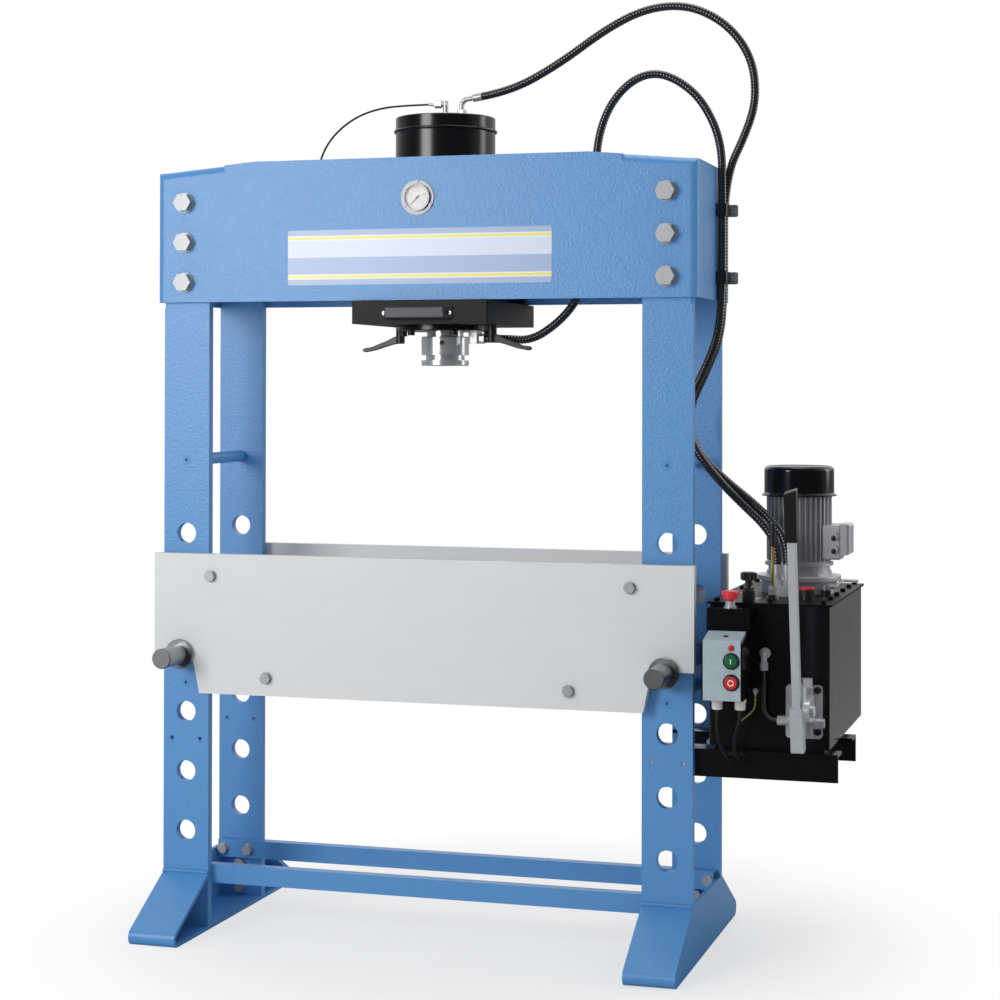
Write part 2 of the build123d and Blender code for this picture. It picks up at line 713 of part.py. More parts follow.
def piston_rod():
    """Piston, rod and nose of the ram in one piece, fully retracted."""
    centre = (cylinder_x, middle_y)
    top = cylinder_top - head_height - piston_head_gap
    bottom, groove_low, groove_high, nose_top = nose_levels
    ram = rod("z", centre, cylinder_bore / 2 - running_clearance, top - piston_height, top)
    for level in piston_grooves():
        ram -= ring("z", centre, cylinder_bore / 2 + 1, cylinder_bore / 2 - 6, level, level + 7)
    ram += rod("z", centre, rod_diameter / 2, nose_top - 1, top - piston_height + 1)
    nose = rod("z", centre, nose_diameter / 2, bottom, nose_top)
    nose = chamfer(nose.edges().filter_by(GeomType.CIRCLE), 2.0)
    nose -= ring("z", centre, nose_diameter / 2 + 1, nose_groove_diameter / 2, groove_low, groove_high)
    ram += nose
    ram -= rod("z", centre, nose_bore / 2, bottom - 1, bottom + nose_bore_depth)
    # Tommy-bar hole that looks forward and a little to the right
    turn = Pos(cylinder_x, middle_y, nose_top - nose_bar_drop) * Rot(0, 0, 10)
    ram -= turn * rod("y", (0, 0), 6.0, -nose_diameter, -nose_diameter / 2 + 26)
    return ram


def piston_grooves():
    """Lower edges of the piston's two seal grooves."""
    top = cylinder_top - head_height - piston_head_gap
    return top - piston_height + 14, top - 21


def piston_seals():
    """Seal rings in the piston's grooves."""
    centre = (cylinder_x, middle_y)
    outer = cylinder_bore / 2 - 0.02
    return [ring("z", centre, outer, cylinder_bore / 2 - 5.9, level + 0.1, level + 6.9) for level in piston_grooves()]


# Fittings on the cylinder's head and under its gland
gauge_elbow_x = cylinder_x
gauge_line_rise = 37.4
gauge_line_height = cylinder_top + gauge_line_rise
hose_elbow_x = cylinder_x + 42.5
hose_fitting_reach = 55.0
hose_fitting_rise = 53.4
hose_a_start = (hose_elbow_x + hose_fitting_reach, middle_y, cylinder_top + hose_fitting_rise)
hose_a_rise = 8.0
port_offset = (89.0, -32.5)
port_spot = (cylinder_x + port_offset[0], middle_y + port_offset[1])
port_drop = 34.0
port_height = carriage_bottom - port_drop
port_reach = 26.0
hose_b_start_x = port_spot[0] + port_reach


def cylinder_fittings():
    """Gauge elbow, swept hose fitting on the head, and the port elbow under the gland."""
    at = (gauge_elbow_x, middle_y)
    elbow = hexagon("z", at, 19.0, cylinder_top, cylinder_top + 15)
    elbow += rod("z", at, 7.0, cylinder_top + 14, gauge_line_height + 7)
    elbow += rod("x", (middle_y, gauge_line_height), 6.5, gauge_elbow_x - 12, gauge_elbow_x + 5)
    elbow += hexagon("x", (middle_y, gauge_line_height), 18.0, gauge_elbow_x - 28, gauge_elbow_x - 10)
    elbow += rod("x", (middle_y, gauge_line_height), 4.2, gauge_elbow_x - 44, gauge_elbow_x - 27)

    at = (hose_elbow_x, middle_y)
    nut = hexagon("z", at, 22.0, cylinder_top, cylinder_top + 20)
    end = Vector(*hose_a_start)
    back = Vector(math.cos(math.radians(hose_a_rise)), 0, math.sin(math.radians(hose_a_rise)))
    knee = end - back * ((end.X - hose_elbow_x) / back.X)
    path = FilletPolyline((hose_elbow_x, middle_y, cylinder_top + 18), tuple(knee), tuple(end - back * 20), radius=17.0)
    nut += swept(path, 6.5)
    ferrule = Plane(origin=end - back * 26, z_dir=back) * extrude(Circle(10.4), amount=26)
    nut += chamfer(ferrule.edges().filter_by(GeomType.CIRCLE), 2.0)

    top = carriage_bottom - gland_height
    port = hexagon("z", port_spot, 30.0, port_height - 12, top)
    port += rod("x", (port_spot[1], port_height), 8.5, port_spot[0], hose_b_start_x - 4)
    port += hexagon("x", (port_spot[1], port_height), 22.0, hose_b_start_x - 12, hose_b_start_x)
    return [elbow, nut, port]


def clamp_lever(side):
    """Clamping lever: hub with its threaded stud, and a cranked arm that points outwards."""
    x = cylinder_x + side * clamp_offset[0]
    y = middle_y - side * clamp_offset[1]
    low = carriage_bottom - 43
    hub = rod("z", (x, y), 11.5, low, carriage_bottom - 0.3)
    hub = chamfer(hub.edges().group_by(Axis.Z)[0], 2.5)
    hub += rod("z", (x, y), clamp_stud / 2, carriage_bottom - 2, carriage_bottom + carriage_floor + 11)
    outline = Spline(*[(x + side * a, y - clamp_arm_width / 2, low + z) for a, z in clamp_arm], periodic=True)
    bar = extrude(make_face(outline), amount=clamp_arm_width, dir=(0, 1, 0))
    bar = fillet(bar.edges(), 2.0)
    return hub + bar


def table_plate_solid(y0):
    """One of the two table plates, with a half-round saddle over each pin."""
    y1 = y0 + table_plate
    half = [(table_half, table_top), (table_half, table_ear_level), (table_waist_half, table_ear_level),
            (table_bottom_half, table_bottom)]
    outline = half + [(-x, z) for x, z in reversed(half)]
    plate = prism("y", outline, y0, y1)
    saddle = pin_hole_diameter / 2
    height = pin_height + pin_diameter / 2 + running_clearance - saddle
    for side in sides:
        plate -= rod("y", (side * hole_x, height), saddle, y0 - 1, y1 + 1)
        for x, z in (table_upper_bolt, table_lower_bolt):
            plate -= bolt_hole("y", (side * x, z), "M16", y0, y1)
    return plate


table_front = -table_gap - table_plate
table_rear = back_y + table_gap


def table_bolts():
    """Through bolts of the table, with the spacer tubes that keep its plates apart."""
    pieces = []
    for side in sides:
        for x, z in (table_upper_bolt, table_lower_bolt):
            at = (side * x, z)
            pieces.append(bolt("y", at, table_front, -1, "M16", table_rear + table_plate - table_front))
            pieces.append(ring("y", at, table_spacer_diameter / 2, fastener["M16"][0] / 2 + bolt_clearance,
                               table_front + table_plate, table_rear))
    return pieces


def table_pin(side):
    """Support pin through the front and rear uprights, with a collar in front of the table."""
    at = (side * hole_x, pin_height)
    pin = rod("y", at, pin_diameter / 2, -pin_front_reach, table_rear + table_plate + pin_rear_reach)
    pin = chamfer(pin.edges().filter_by(GeomType.CIRCLE), 2.0)
    face = table_front - 0.2
    collar = rod("y", at, pin_collar_diameter / 2, face - pin_collar_width, face)
    return pin + chamfer(collar.edges().filter_by(GeomType.CIRCLE), 1.5)


# Where the two control cables leave through the front arm
cable_exits = ((tank_left + 53.5, arm_top - 15.0), (tank_left + 77.5, arm_top - 15.0))


def bracket_arms():
    """Two angle-section arms, bolted behind the front upright and before the rear upright."""
    x = (arm_end - arm_length, arm_end)
    corner = upright_thickness
    front = [(corner, arm_level), (corner, arm_top), (corner + arm_leg, arm_top),
             (corner + arm_leg, arm_top - arm_wall), (corner + arm_wall, arm_top - arm_wall),
             (corner + arm_wall, arm_level)]
    arms = []
    for profile in (front, [(back_y - y, z) for y, z in front]):
        arm = prism("x", profile, *x)
        for bolt_x in arm_bolts:
            arm -= bolt_hole("y", (bolt_x, arm_hole_height), "M10", upright_thickness, rear_y)
        arms.append(arm)
    for at in cable_exits:
        arms[0] -= rod("y", at, cable_diameter / 2 + 2.3, corner - 1, corner + arm_wall + 1)
    return arms


def grommets():
    """Rubber grommets for the cables in the front arm."""
    pieces = []
    for at in cable_exits:
        face = upright_thickness
        grommet = rod("y", at, cable_diameter / 2 + 4.5, grommet_front, face)
        grommet += rod("y", at, cable_diameter / 2 + 2.2, face - 1, face + arm_wall + 2)
        pieces.append(grommet)
    return pieces


# Fittings on the tank's front plate
tube_x = tank_left + 134.0
tube_top = tank_top - 112.0
tube_bottom = tank_bottom + 68.0
tube_y = tank_front - 21.0
tube_diameter = 10.0
pump_port_x = tank_right - 98.0
earth_spot = (tank_left + 111.0, tank_bottom + 131.0)
earth_wire_y = tank_front - 4.5
plug_spots = ((tank_left + 119.0, tank_top - 36.0), (tank_left + 164.0, tank_top - 39.0))


def tank_shell():
    """Oil tank: an open sheet box on an inset base, with the screw plugs on its front."""
    heights = (tank_bottom, tank_top)
    box = rounded(block((tank_left, tank_right), (tank_front, tank_rear), heights), "z", 8.0)
    inside = block((tank_left + tank_wall, tank_right - tank_wall), (tank_front + tank_wall, tank_rear - tank_wall),
                   (tank_bottom + tank_wall, tank_top + 1))
    box -= rounded(inside, "z", 8.0 - tank_wall)
    inset = tank_base_inset
    box += block((tank_left + inset, tank_right - inset), (tank_front + inset, tank_rear - inset),
                 (arm_top, tank_bottom))
    for spot in plug_spots:
        box += rod("y", spot, 5.0, tank_front - 3.5, tank_front)
    return box


def lid_screw_spots():
    """Places of the lid's screws, all round its edge."""
    edge = 16.0
    x0, x1 = tank_left + edge, tank_right - edge
    y0, y1 = tank_front + edge, tank_rear - edge
    along = [y0 + (y1 - y0) * k / 5 for k in range(6)]
    return [(x, y) for x in (x0, x1) for y in along] + [((x0 + x1) / 2, y) for y in (y0, y1)]


def tank_lid():
    """Lid plate with its screws, and the opening that the pump hangs through."""
    over = lid_overhang
    plate = block((tank_left - over, tank_right + over), (tank_front - over, tank_rear + over), (tank_top, lid_top))
    plate = rounded(plate, "z", 6.0)
    plate -= rod("z", (motor_x, motor_y), pump_bell_diameter / 2 + 1, tank_top - 1, lid_top + 1)
    pieces = []
    for spot in lid_screw_spots():
        plate -= rod("z", spot, 4.5, tank_top - 1, lid_top + 1)
        screw = rod("z", spot, 6.5, lid_top, lid_top + 8)
        screw -= hexagon("z", spot, 6.0, lid_top + 4, lid_top + 9)
        pieces.append(screw + rod("z", spot, 4.0, tank_top - 14, lid_top + 1))
    return [plate] + pieces


pump_bell_diameter = 120.0


def motor_frame():
    """Motor housing with vertical fins, end shield, mounting flange, pump bell and terminal box."""
    centre = (motor_x, motor_y)
    bell_top = lid_top + bell_height
    bore = shaft_diameter / 2 + running_clearance
    bell = ring("z", centre, bell_diameter / 2, pump_bell_diameter / 2 - 12, lid_top, bell_top)
    bell += ring("z", centre, pump_bell_diameter / 2, pump_bell_diameter / 2 - 12, tank_top - 60, lid_top + 1)
    flange = rod("z", centre, flange_diameter / 2, bell_top, flange_top)
    flange = fillet(flange.edges().filter_by(GeomType.CIRCLE), 2.0)
    for turn in (45, 135, 225, 315):
        spot = polar(centre, 82.0, turn)
        flange += hexagon("z", spot, 15.0, flange_top, flange_top + 9)
    shield = rod("z", centre, motor_diameter / 2 - 4, flange_top, body_bottom)
    shield += rod("z", centre, motor_diameter / 2 + 4, body_bottom - 12, body_bottom - 4)
    shield += rod("z", centre, motor_diameter / 2, flange_top, flange_top + 10)
    core = rod("z", centre, motor_core / 2, body_bottom - 1, body_top)
    fins = [fin_bar(centre, 360 / fin_count * k) for k in range(fin_count)]
    housing = shield + core + flange + fins
    housing -= rod("z", centre, rotor_diameter / 2 + 8, body_bottom + 12, body_top - 12)
    housing -= rod("z", centre, bore, bell_top - 1, body_top + 1)
    housing += bell
    # Feed line's terminal box on the right
    z = (body_bottom + 4, body_bottom + 90)
    y = (motor_y - 45, motor_y + 45)
    box = block((motor_x + motor_core / 2 - 2, motor_x + 105), y, z)
    box = rounded(box, "x", 6.0)
    cap = block((motor_x + 105, motor_x + terminal_reach), (y[0] + 3, y[1] - 3), (z[0] + 12, z[1] + 2))
    cap = fillet(cap.edges().group_by(Axis.X)[-1], 8.0)
    box += cap
    for lift in (26, 58):
        at = (motor_x + 92, z[0] + lift)
        box += hexagon("y", at, 20.0, y[0] - 6, y[0] + 1)
    return housing + box


def fin_bar(centre, turn):
    """One cooling fin of the motor, at an angle about its axis."""
    fin = block((motor_core / 2 - 2, motor_diameter / 2), (-fin_thickness / 2, fin_thickness / 2),
                (body_bottom, body_top))
    return Pos(*centre, 0) * Rot(0, 0, turn) * fin


def polar(centre, radius, turn):
    """Point on a circle about a vertical axis."""
    angle = math.radians(turn)
    return centre[0] + radius * math.cos(angle), centre[1] + radius * math.sin(angle)


rotor_diameter = 84.0
rotor_gap = 1.0


def stator():
    """Wound stator ring in the housing."""
    return ring("z", (motor_x, motor_y), rotor_diameter / 2 + 8 - 0.1, rotor_diameter / 2 + rotor_gap,
                body_bottom + 24, body_top - 24)


fan_thickness = 26.0
fan_blades = 7


def motor_rotor():
    """Shaft with the rotor, the cooling fan under the cover and the coupling half below the flange."""
    centre = (motor_x, motor_y)
    low = tank_top - 40
    shaft = rod("z", centre, shaft_diameter / 2, low + 20, body_top + 12 + fan_thickness)
    shaft += rod("z", centre, rotor_diameter / 2, body_bottom + 26, body_top - 26)
    shaft += ring("z", centre, 22.0, shaft_diameter / 2 - 1, low + 20, low + 62)
    fan_low = body_top + 12
    shaft += rod("z", centre, 66.0, fan_low, fan_low + 3)
    shaft += rod("z", centre, 20.0, fan_low, fan_low + fan_thickness - 2)
    for k in range(fan_blades):
        blade = block((18, 66), (-1.2, 1.2), (fan_low, fan_low + fan_thickness))
        shaft += Pos(*centre, 0) * Rot(0, 0, 360 / fan_blades * k) * blade
    for turn in (0, 120, 240):
        claw = block((8, 21), (-5, 5), (low + 10, low + 21))
        shaft += Pos(*centre, 0) * Rot(0, 0, turn) * claw
    return shaft


def fan_cover():
    """Drawn steel cover over the fan, flared at its rim, with an air grille on top."""
    centre = (motor_x, motor_y)
    outer = cover_diameter / 2
    sheet = 2.0

    def dome(radius, low, high, bend):
        solid = rod("z", centre, radius, low, high)
        return fillet(solid.edges().group_by(Axis.Z)[-1], bend)

    low = body_top + 6
    cover = dome(outer, low, cover_top, cover_bend) - dome(outer - sheet, low - 1, cover_top - sheet, cover_bend - sheet)
    flare = outer + cover_flare
    skirt = Pos(*centre, low - 4) * Cone(flare, outer, 8.0)
    hollow = Pos(*centre, low - 4) * Cone(flare - sheet, outer - sheet, 8.0)
    cover += skirt - hollow
    seat = ring("z", centre, flare, motor_diameter / 2 + 0.1, low - 8, low - 5.5)
    cover += seat
    slots = []
    for radius in (20.0, 34.0, 48.0):
        count = int(radius / 4)
        for k in range(count):
            slot = rod("z", polar(centre, radius, 360 / count * k), 3.4, cover_top - 8, cover_top + 1)
            slots.append(slot)
    return cover - slots


def gear_pump():
    """Gear pump on the bell inside the tank, with its coupling half, suction pipe and strainer."""
    centre = (motor_x, motor_y)
    top = tank_top - 60
    body = rounded(block((motor_x - 45, motor_x + 45), (motor_y - 50, motor_y + 50), (top - 110, top)), "z", 16.0)
    plate = rod("z", centre, pump_bell_diameter / 2, top - 12, top)
    body += plate
    body += rod("z", centre, 10.0, top, top + 8)
    body += rod("z", centre, 21.0, top + 6, top + 16)
    pipe_x = motor_x + 20
    path = FilletPolyline((pipe_x, motor_y, top - 105), (pipe_x, motor_y, top - 175), (pipe_x, motor_y - 60, top - 175),
                          radius=24.0)
    body += swept(path, 12.0)
    strainer = rod("y", (pipe_x, top - 175), 26.0, motor_y - 150, motor_y - 58)
    body += chamfer(strainer.edges().filter_by(GeomType.CIRCLE), 4.0)
    return body


# Hand pump on the tank's front, with its lever to the left of the pivot boss
pump_inset = 49.0
pump_reach = 21.0
pump_axis = (tank_right - pump_inset, tank_front - pump_reach)
pivot_reach = 83.0
pivot_lift = 101.0
pivot_y = tank_front - pivot_reach
pivot_z = tank_bottom + pivot_lift
pivot_diameter = 18.0
lever_offset = 13.5
lever_x = pump_axis[0] - lever_offset
pump_plate = (51.0, 34.0, 74.0, 50.0)
pump_plate_thickness = 12.0
pump_block = (17.0, 15.0, 70.0, 48.0)
pump_block_depth = 20.0
side_valve_drop = 36.0
side_valve_reach = 33.0
pump_screw_offset = 24.0
pump_screw_heights = (-57.2, 39.7)
socket_width = 31.0
lever_lean = 11.0
lever_reach = 524.0
lever_tube = 20.0
lever_tube_inset = 16.0
grip_length = 123.0
grip_width = 29.0
grip_slant = 11.0
pump_bore = 18.0
crank_width = 10.0


def hand_pump_body():
    """Cast pump body: mounting plate, cylinder block, top plug, side valve and the pivot bracket."""
    x, y = pump_axis
    left, right, down, up = pump_plate
    plate_y = tank_front - pump_plate_thickness
    plate = block((x - left, x + right), (plate_y, tank_front), (pivot_z - down, pivot_z + up))
    plate = rounded(plate, "y", 9.0)
    left, right, down, up = pump_block
    top = pivot_z + up
    body = block((x - left, x + right), (plate_y + 1 - pump_block_depth, plate_y + 1), (pivot_z - down, top))
    body = rounded(body, "z", 6.0, lambda e: e.center().Y < plate_y - pump_block_depth / 2)
    body += plate
    body += rod("z", pump_axis, 15.0, pivot_z - down + 4, top)
    body += hexagon("z", pump_axis, 22.0, top, top + 20)
    valve = (plate_y - 11, pivot_z - side_valve_drop)
    body += rod("x", valve, 13.0, x + 10, x + side_valve_reach)
    body += hexagon("x", valve, 19.0, x + side_valve_reach, x + side_valve_reach + 8)
    body += rod("x", (tube_y, tube_bottom), 10.0, pump_port_x + 8, x)
    # Pivot bracket at the right of the lever, reaching forward from the block
    left = lever_x + socket_width / 2 + 1.5
    bracket = rod("x", (pivot_y, pivot_z), 25.0, left, left + 14)
    back = plate_y - 3
    bracket += prism("x", [(pivot_y, pivot_z + 25), (back, pivot_z + 32), (back, pivot_z - 34),
                           (pivot_y, pivot_z - 25)], left, left + 14)
    body += bracket
    body += rod("x", (pivot_y, pivot_z), 14.0, left + 13, left + 20)
    body -= rod("x", (pivot_y, pivot_z), pivot_diameter / 2 + running_clearance, left - 1, left + 30)
    body -= rod("z", pump_axis, pump_bore / 2 + running_clearance, pivot_z - 46, top - 2)
    # Chamber that the crank works in
    body -= block((x - crank_width / 2 - 1, x + crank_width / 2 + 1), (plate_y - pump_block_depth, plate_y - 1),
                  (pivot_z - 30, pivot_z + 30))
    for spot in pump_screw_spots():
        body -= rod("y", spot, 5.5, plate_y - 1, tank_front + 1)
    return body


def pump_screw_spots():
    """Places of the hand pump's two screws."""
    return [(pump_axis[0] + pump_screw_offset, pivot_z + height) for height in pump_screw_heights]


def pump_screws():
    """Socket screws of the hand pump."""
    screws = []
    face = tank_front - pump_plate_thickness
    for spot in pump_screw_spots():
        screw = rod("y", spot, 8.0, face - 8, face) - hexagon("y", spot, 8.0, face - 9, face - 4)
        screws.append(screw + rod("y", spot, 5.0, face - 1, tank_front))
    return screws


def leaned(shape):
    """A piece of the lever, drawn upright about its pivot, at its resting lean."""
    return Pos(lever_x, pivot_y, pivot_z) * Rot(lever_lean, 0, 0) * shape


def hand_pump_lever():
    """Lever socket on its pivot shaft, with the square tube that stands in it."""
    half = socket_width / 2
    socket = block((-half, half), (-half, half), (-97, 8))
    socket = rounded(socket, "z", 3.0)
    tube_half = lever_tube / 2
    bar = block((-tube_half, tube_half), (-tube_half, tube_half), (7, lever_reach - lever_tube_inset))
    lever = leaned(socket + rounded(bar, "z", 2.0))
    right = lever_x + half + 1.5 + 20
    lever += rod("x", (pivot_y, pivot_z), pivot_diameter / 2, lever_x, right)
    lever += rod("x", (pivot_y, pivot_z), 13.0, right + 0.3, right + 4)
    lever += rod("x", (pivot_y, pivot_z), pivot_diameter / 2, right - 1, right + 1)
    return lever


def lever_grip():
    """Plastic grip on the lever, a little wider at its rounded top."""
    low = lever_reach - grip_length
    tube_end = lever_reach - lever_tube_inset
    half = lever_tube / 2
    bottom = Pos(0, 0, low) * Rectangle(grip_width - 3, grip_width - 4)
    top = Pos(0, 0, lever_reach) * Rectangle(grip_width, grip_width)
    body = loft([bottom, top])
    side = grip_width / 2 + 1
    corners = [(-side, lever_reach - grip_slant), (side, lever_reach), (side, lever_reach + 1), (-side, lever_reach + 1)]
    body -= prism("y", corners, -side, side)
    body = fillet(body.edges().filter_by(lambda e: e.center().Z > lever_reach - grip_slant - 1), 3.0)
    body -= block((-half, half), (-half, half), (low - 1, tube_end))
    return leaned(body)


def pump_piston():
    """Piston of the hand pump, in its bore."""
    return rod("z", pump_axis, pump_bore / 2, pivot_z - 18, pivot_z + 24)


def pressure_tube():
    """Steel tube from the elbow on the tank's front down to the hand pump, with its nuts."""
    elbow = rod("y", (tube_x, tube_top), 13.0, tank_front - 8, tank_front)
    elbow += rod("y", (tube_x, tube_top), 8.0, tube_y, tank_front - 7)
    elbow += rod("z", (tube_x, tube_y), 7.5, tube_top - 20, tube_top + 7)
    elbow += hexagon("z", (tube_x, tube_y), 17.0, tube_top - 38, tube_top - 20)
    path = FilletPolyline((tube_x, tube_y, tube_top - 36), (tube_x, tube_y, tube_bottom),
                          (pump_port_x - 14, tube_y, tube_bottom), radius=30.0)
    elbow += swept(path, tube_diameter / 2)
    elbow += hexagon("x", (tube_y, tube_bottom), 19.0, pump_port_x - 20, pump_port_x - 3)
    elbow += hexagon("x", (tube_y, tube_bottom), 17.0, pump_port_x - 3, pump_port_x + 8)
    return elbow


# Valve gear on the lid
knob_spot = (tank_left + 90.0, tank_front + 22.0)
rod_valve_spot = (tank_left + 136.0, tank_front + 86.0)
filler_spot = (tank_right - 70.0, tank_front + 109.0)
release_spot = (tank_right - 43.0, tank_front + 241.0)
release_tip = (tank_right + 12.0, tank_front + 399.0)
hose_ports = ((tank_left + 156.0, tank_front + 180.0), (tank_left + 132.0, tank_front + 175.0))
hose_end_lift = 77.0
hose_end_height = lid_top + hose_end_lift


def lid_fittings():
    """Manifold block with the two hose ends, and the valve bodies that stand on the lid."""
    pieces = []
    block_top = lid_top + 26
    manifold = block((hose_ports[1][0] - 15, hose_ports[0][0] + 15), (hose_ports[1][1] - 12, hose_ports[0][1] + 12),
                     (lid_top, block_top))
    pieces.append(rounded(manifold, "z", 3.0))
    for spot in hose_ports:
        stub = hexagon("z", spot, 22.0, block_top, block_top + 14)
        stub += rod("z", spot, 8.0, block_top + 13, hose_end_height - 20)
        stub += rod("z", spot, hose_diameter / 2 + 0.6, hose_end_height - 24, hose_end_height)
        pieces.append(stub)
    return pieces


def valve_bodies():
    """Black bodies under the star knob and the rod valve, and the filler neck."""
    knob_body = rod("z", knob_spot, 15.0, lid_top, lid_top + 26)
    knob_body += hexagon("z", knob_spot, 22.0, lid_top + 25, lid_top + 34)
    knob_body -= rod("z", knob_spot, knob_stem / 2 + running_clearance, lid_top + 10, lid_top + 35)
    rod_body = Pos(*rod_valve_spot, lid_top + 6) * Cone(17.0, 11.0, 12.0)
    neck = rod("z", filler_spot, 17.0, lid_top, lid_top + 8)
    hub = rod("z", release_spot, 12.0, lid_top, lid_top + 12)
    hub -= rod("z", release_spot, release_shaft / 2 + running_clearance, lid_top + 2, lid_top + 13)
    return [knob_body, rod_body, neck, hub]


knob_stem = 10.0
release_shaft = 9.0


def star_knob():
    """Five-lobed knob of the throttle valve on its stem."""
    knob = rod("z", knob_spot, 15.0, lid_top + 50, lid_top + 70)
    for k in range(5):
        knob += rod("z", polar(knob_spot, 13.0, 72 * k + 18), 7.5, lid_top + 52, lid_top + 68)
    knob = fillet(knob.edges().group_by(Axis.Z)[-1], 1.5)
    knob += rod("z", knob_spot, 8.0, lid_top + 36, lid_top + 51)
    return knob + rod("z", knob_spot, knob_stem / 2, lid_top + 12, lid_top + 38)


rod_pivot_height = 22.0


def rod_valve_base():
    """Fork of the rod valve, with its cross hole."""
    x, y = rod_valve_spot
    fork = rod("z", rod_valve_spot, 10.0, lid_top + 12, lid_top + 32)
    fork -= block((x - 12, x + 12), (y - 4.6, y + 4.6), (lid_top + 15, lid_top + 33))
    fork -= rod("y", (x, lid_top + rod_pivot_height), 2.5 + running_clearance, y - 12, y + 12)
    return fork


def rod_valve_lever():
    """Upright rod lever of the valve, with its cross pin."""
    x, y = rod_valve_spot
    pivot = lid_top + rod_pivot_height
    lever = rod("y", (x, pivot), 6.0, y - 4.2, y + 4.2)
    lever += rod("y", (x, pivot), 2.5, y - 10.5, y + 10.5)
    lever += rod("z", rod_valve_spot, 4.0, pivot, lid_top + 128)
    grip = rod("z", rod_valve_spot, 7.0, lid_top + 127, lid_top + 183)
    return lever + fillet(grip.edges().filter_by(GeomType.CIRCLE), 3.0)


def filler_cap():
    """Screwed filler and breather cap with grip ribs."""
    cap = rod("z", filler_spot, 19.0, lid_top + 8, lid_top + 30)
    cap = fillet(cap.edges().group_by(Axis.Z)[-1], 2.5)
    notches = [rod("z", polar(filler_spot, 20.0, 30 * k), 2.2, lid_top + 7, lid_top + 23) for k in range(12)]
    return cap - notches


def release_lever():
    """Bent round lever of the release valve, reaching over the lid's right edge."""
    x, y = release_spot
    shaft = rod("z", release_spot, release_shaft / 2, lid_top + 4, lid_top + 26)
    hub = rod("z", release_spot, 10.0, lid_top + 12.3, lid_top + 24)
    path = FilletPolyline((x, y, lid_top + 18), (x + 20, y + 10, lid_top + 18), (x + 34, y + 38, lid_top + 33),
                          (*release_tip, lid_top + 22), radius=9.0)
    return shaft + hub + swept(path, 4.0)


# Control boxes, from the tank's front plate outwards
estop_left = tank_left + estop_box_inset
estop_right = estop_left + estop_box_width
estop_top = tank_top - estop_box_drop
estop_front = tank_front - estop_box_depth
switch_left = estop_left + 11.0
switch_right = switch_left + switch_width
switch_front = estop_front - switch_depth
switch_top = estop_top - 64.0
switch_bottom = switch_top - switch_height
estop_x = estop_left + 52.0
estop_y = tank_front - 33.0
estop_travel = 5.0
button_travel = 4.0
button_x = switch_left + 66.0
start_height = switch_bottom + 92.0
stop_height = switch_bottom + 43.0
lamp_height = switch_bottom + 122.0
gland_spots = ((switch_left + 23.0, switch_front + 54.0), (switch_left + 76.0, switch_front + 58.0))
gland_drop = 27.0
gland_bottom = switch_bottom - gland_drop
grommet_front = upright_thickness - 2.5


def switch_profile(inset):
    """Side outline of the switch box, smaller by the inset on its front and sloping top."""
    run, rise = switch_slant
    return [(estop_front, switch_bottom), (switch_front + inset, switch_bottom), (switch_front + inset, switch_top - inset),
            (switch_front + run, switch_top + rise - inset), (switch_front + run, switch_top + rise),
            (estop_front, switch_top + rise)]


def control_boxes():
    """Black emergency-stop box on the tank and the black body of the switch box on its front."""
    box = block((estop_left, estop_right), (estop_front, tank_front), (estop_top - estop_box_height, estop_top))
    box = rounded(box, "z", 4.0, lambda e: e.center().Y < estop_front + 1)
    stem = (estop_x, estop_y)
    box -= rod("z", stem, estop_stem / 2 + 0.3, estop_top - 60, estop_top + 1)
    body = prism("x", switch_profile(cover_wall + 0.2), switch_left - switch_rim, switch_right + switch_rim)
    for height, diameter in ((start_height, button_diameter), (stop_height, button_diameter)):
        body -= rod("y", (button_x, height), diameter / 2 - 2.7, switch_front, switch_front + 40)
    body -= rod("y", (button_x, lamp_height), lamp_diameter / 2 + 0.1, switch_front, switch_front + 20)
    return [box, body]


estop_stem = 16.0


def switch_cover():
    """Light grey cover of the switch box: its front and sloping top, with the button collars."""
    run, rise = switch_slant
    w = cover_wall
    profile = [(switch_front, switch_bottom), (switch_front, switch_top), (switch_front + run, switch_top + rise),
               (switch_front + run, switch_top + rise - w), (switch_front + w, switch_top - w),
               (switch_front + w, switch_bottom)]
    cover = prism("x", profile, switch_left, switch_right)
    cover = fillet(cover.edges().filter_by(Axis.X).sort_by(Axis.Y)[:2], 3.0)
    for height in (start_height, stop_height):
        cover += ring("y", (button_x, height), button_diameter / 2 + 1.6, button_diameter / 2 - 1,
                      switch_front - 3, switch_front + 1)
        cover -= rod("y", (button_x, height), button_diameter / 2 - 2.7, switch_front - 4, switch_front + w + 1)
        cover -= rod("y", (button_x, height), button_diameter / 2 + 0.2, switch_front - 4, switch_front)
    cover -= rod("y", (button_x, lamp_height), lamp_diameter / 2 + 0.1, switch_front - 1, switch_front + w + 1)
    # Cover screw on the slope
    x = (switch_left + switch_right) / 2 + 4
    screw_y = switch_front + run * 0.45
    screw_z = switch_top + rise * 0.45
    cover += rod("z", (x, screw_y), 4.5, screw_z - 2, screw_z + 2.5)
    return cover


def push_button(height):
    """Push button with its stem, held by the cover's collar."""
    at = (button_x, height)
    head = rod("y", at, button_diameter / 2 - 0.2, switch_front - button_height, switch_front - button_travel - 0.4)
    head = fillet(head.edges().group_by(Axis.Y)[0], 1.5)
    return head + rod("y", at, button_diameter / 2 - 3.2, switch_front - button_travel - 1, switch_front + 24)


def pilot_lamp():
    """Small domed lamp above the buttons."""
    lamp = rod("y", (button_x, lamp_height), lamp_diameter / 2, switch_front - 5, switch_front + 14)
    return fillet(lamp.edges().group_by(Axis.Y)[0], 4.0)


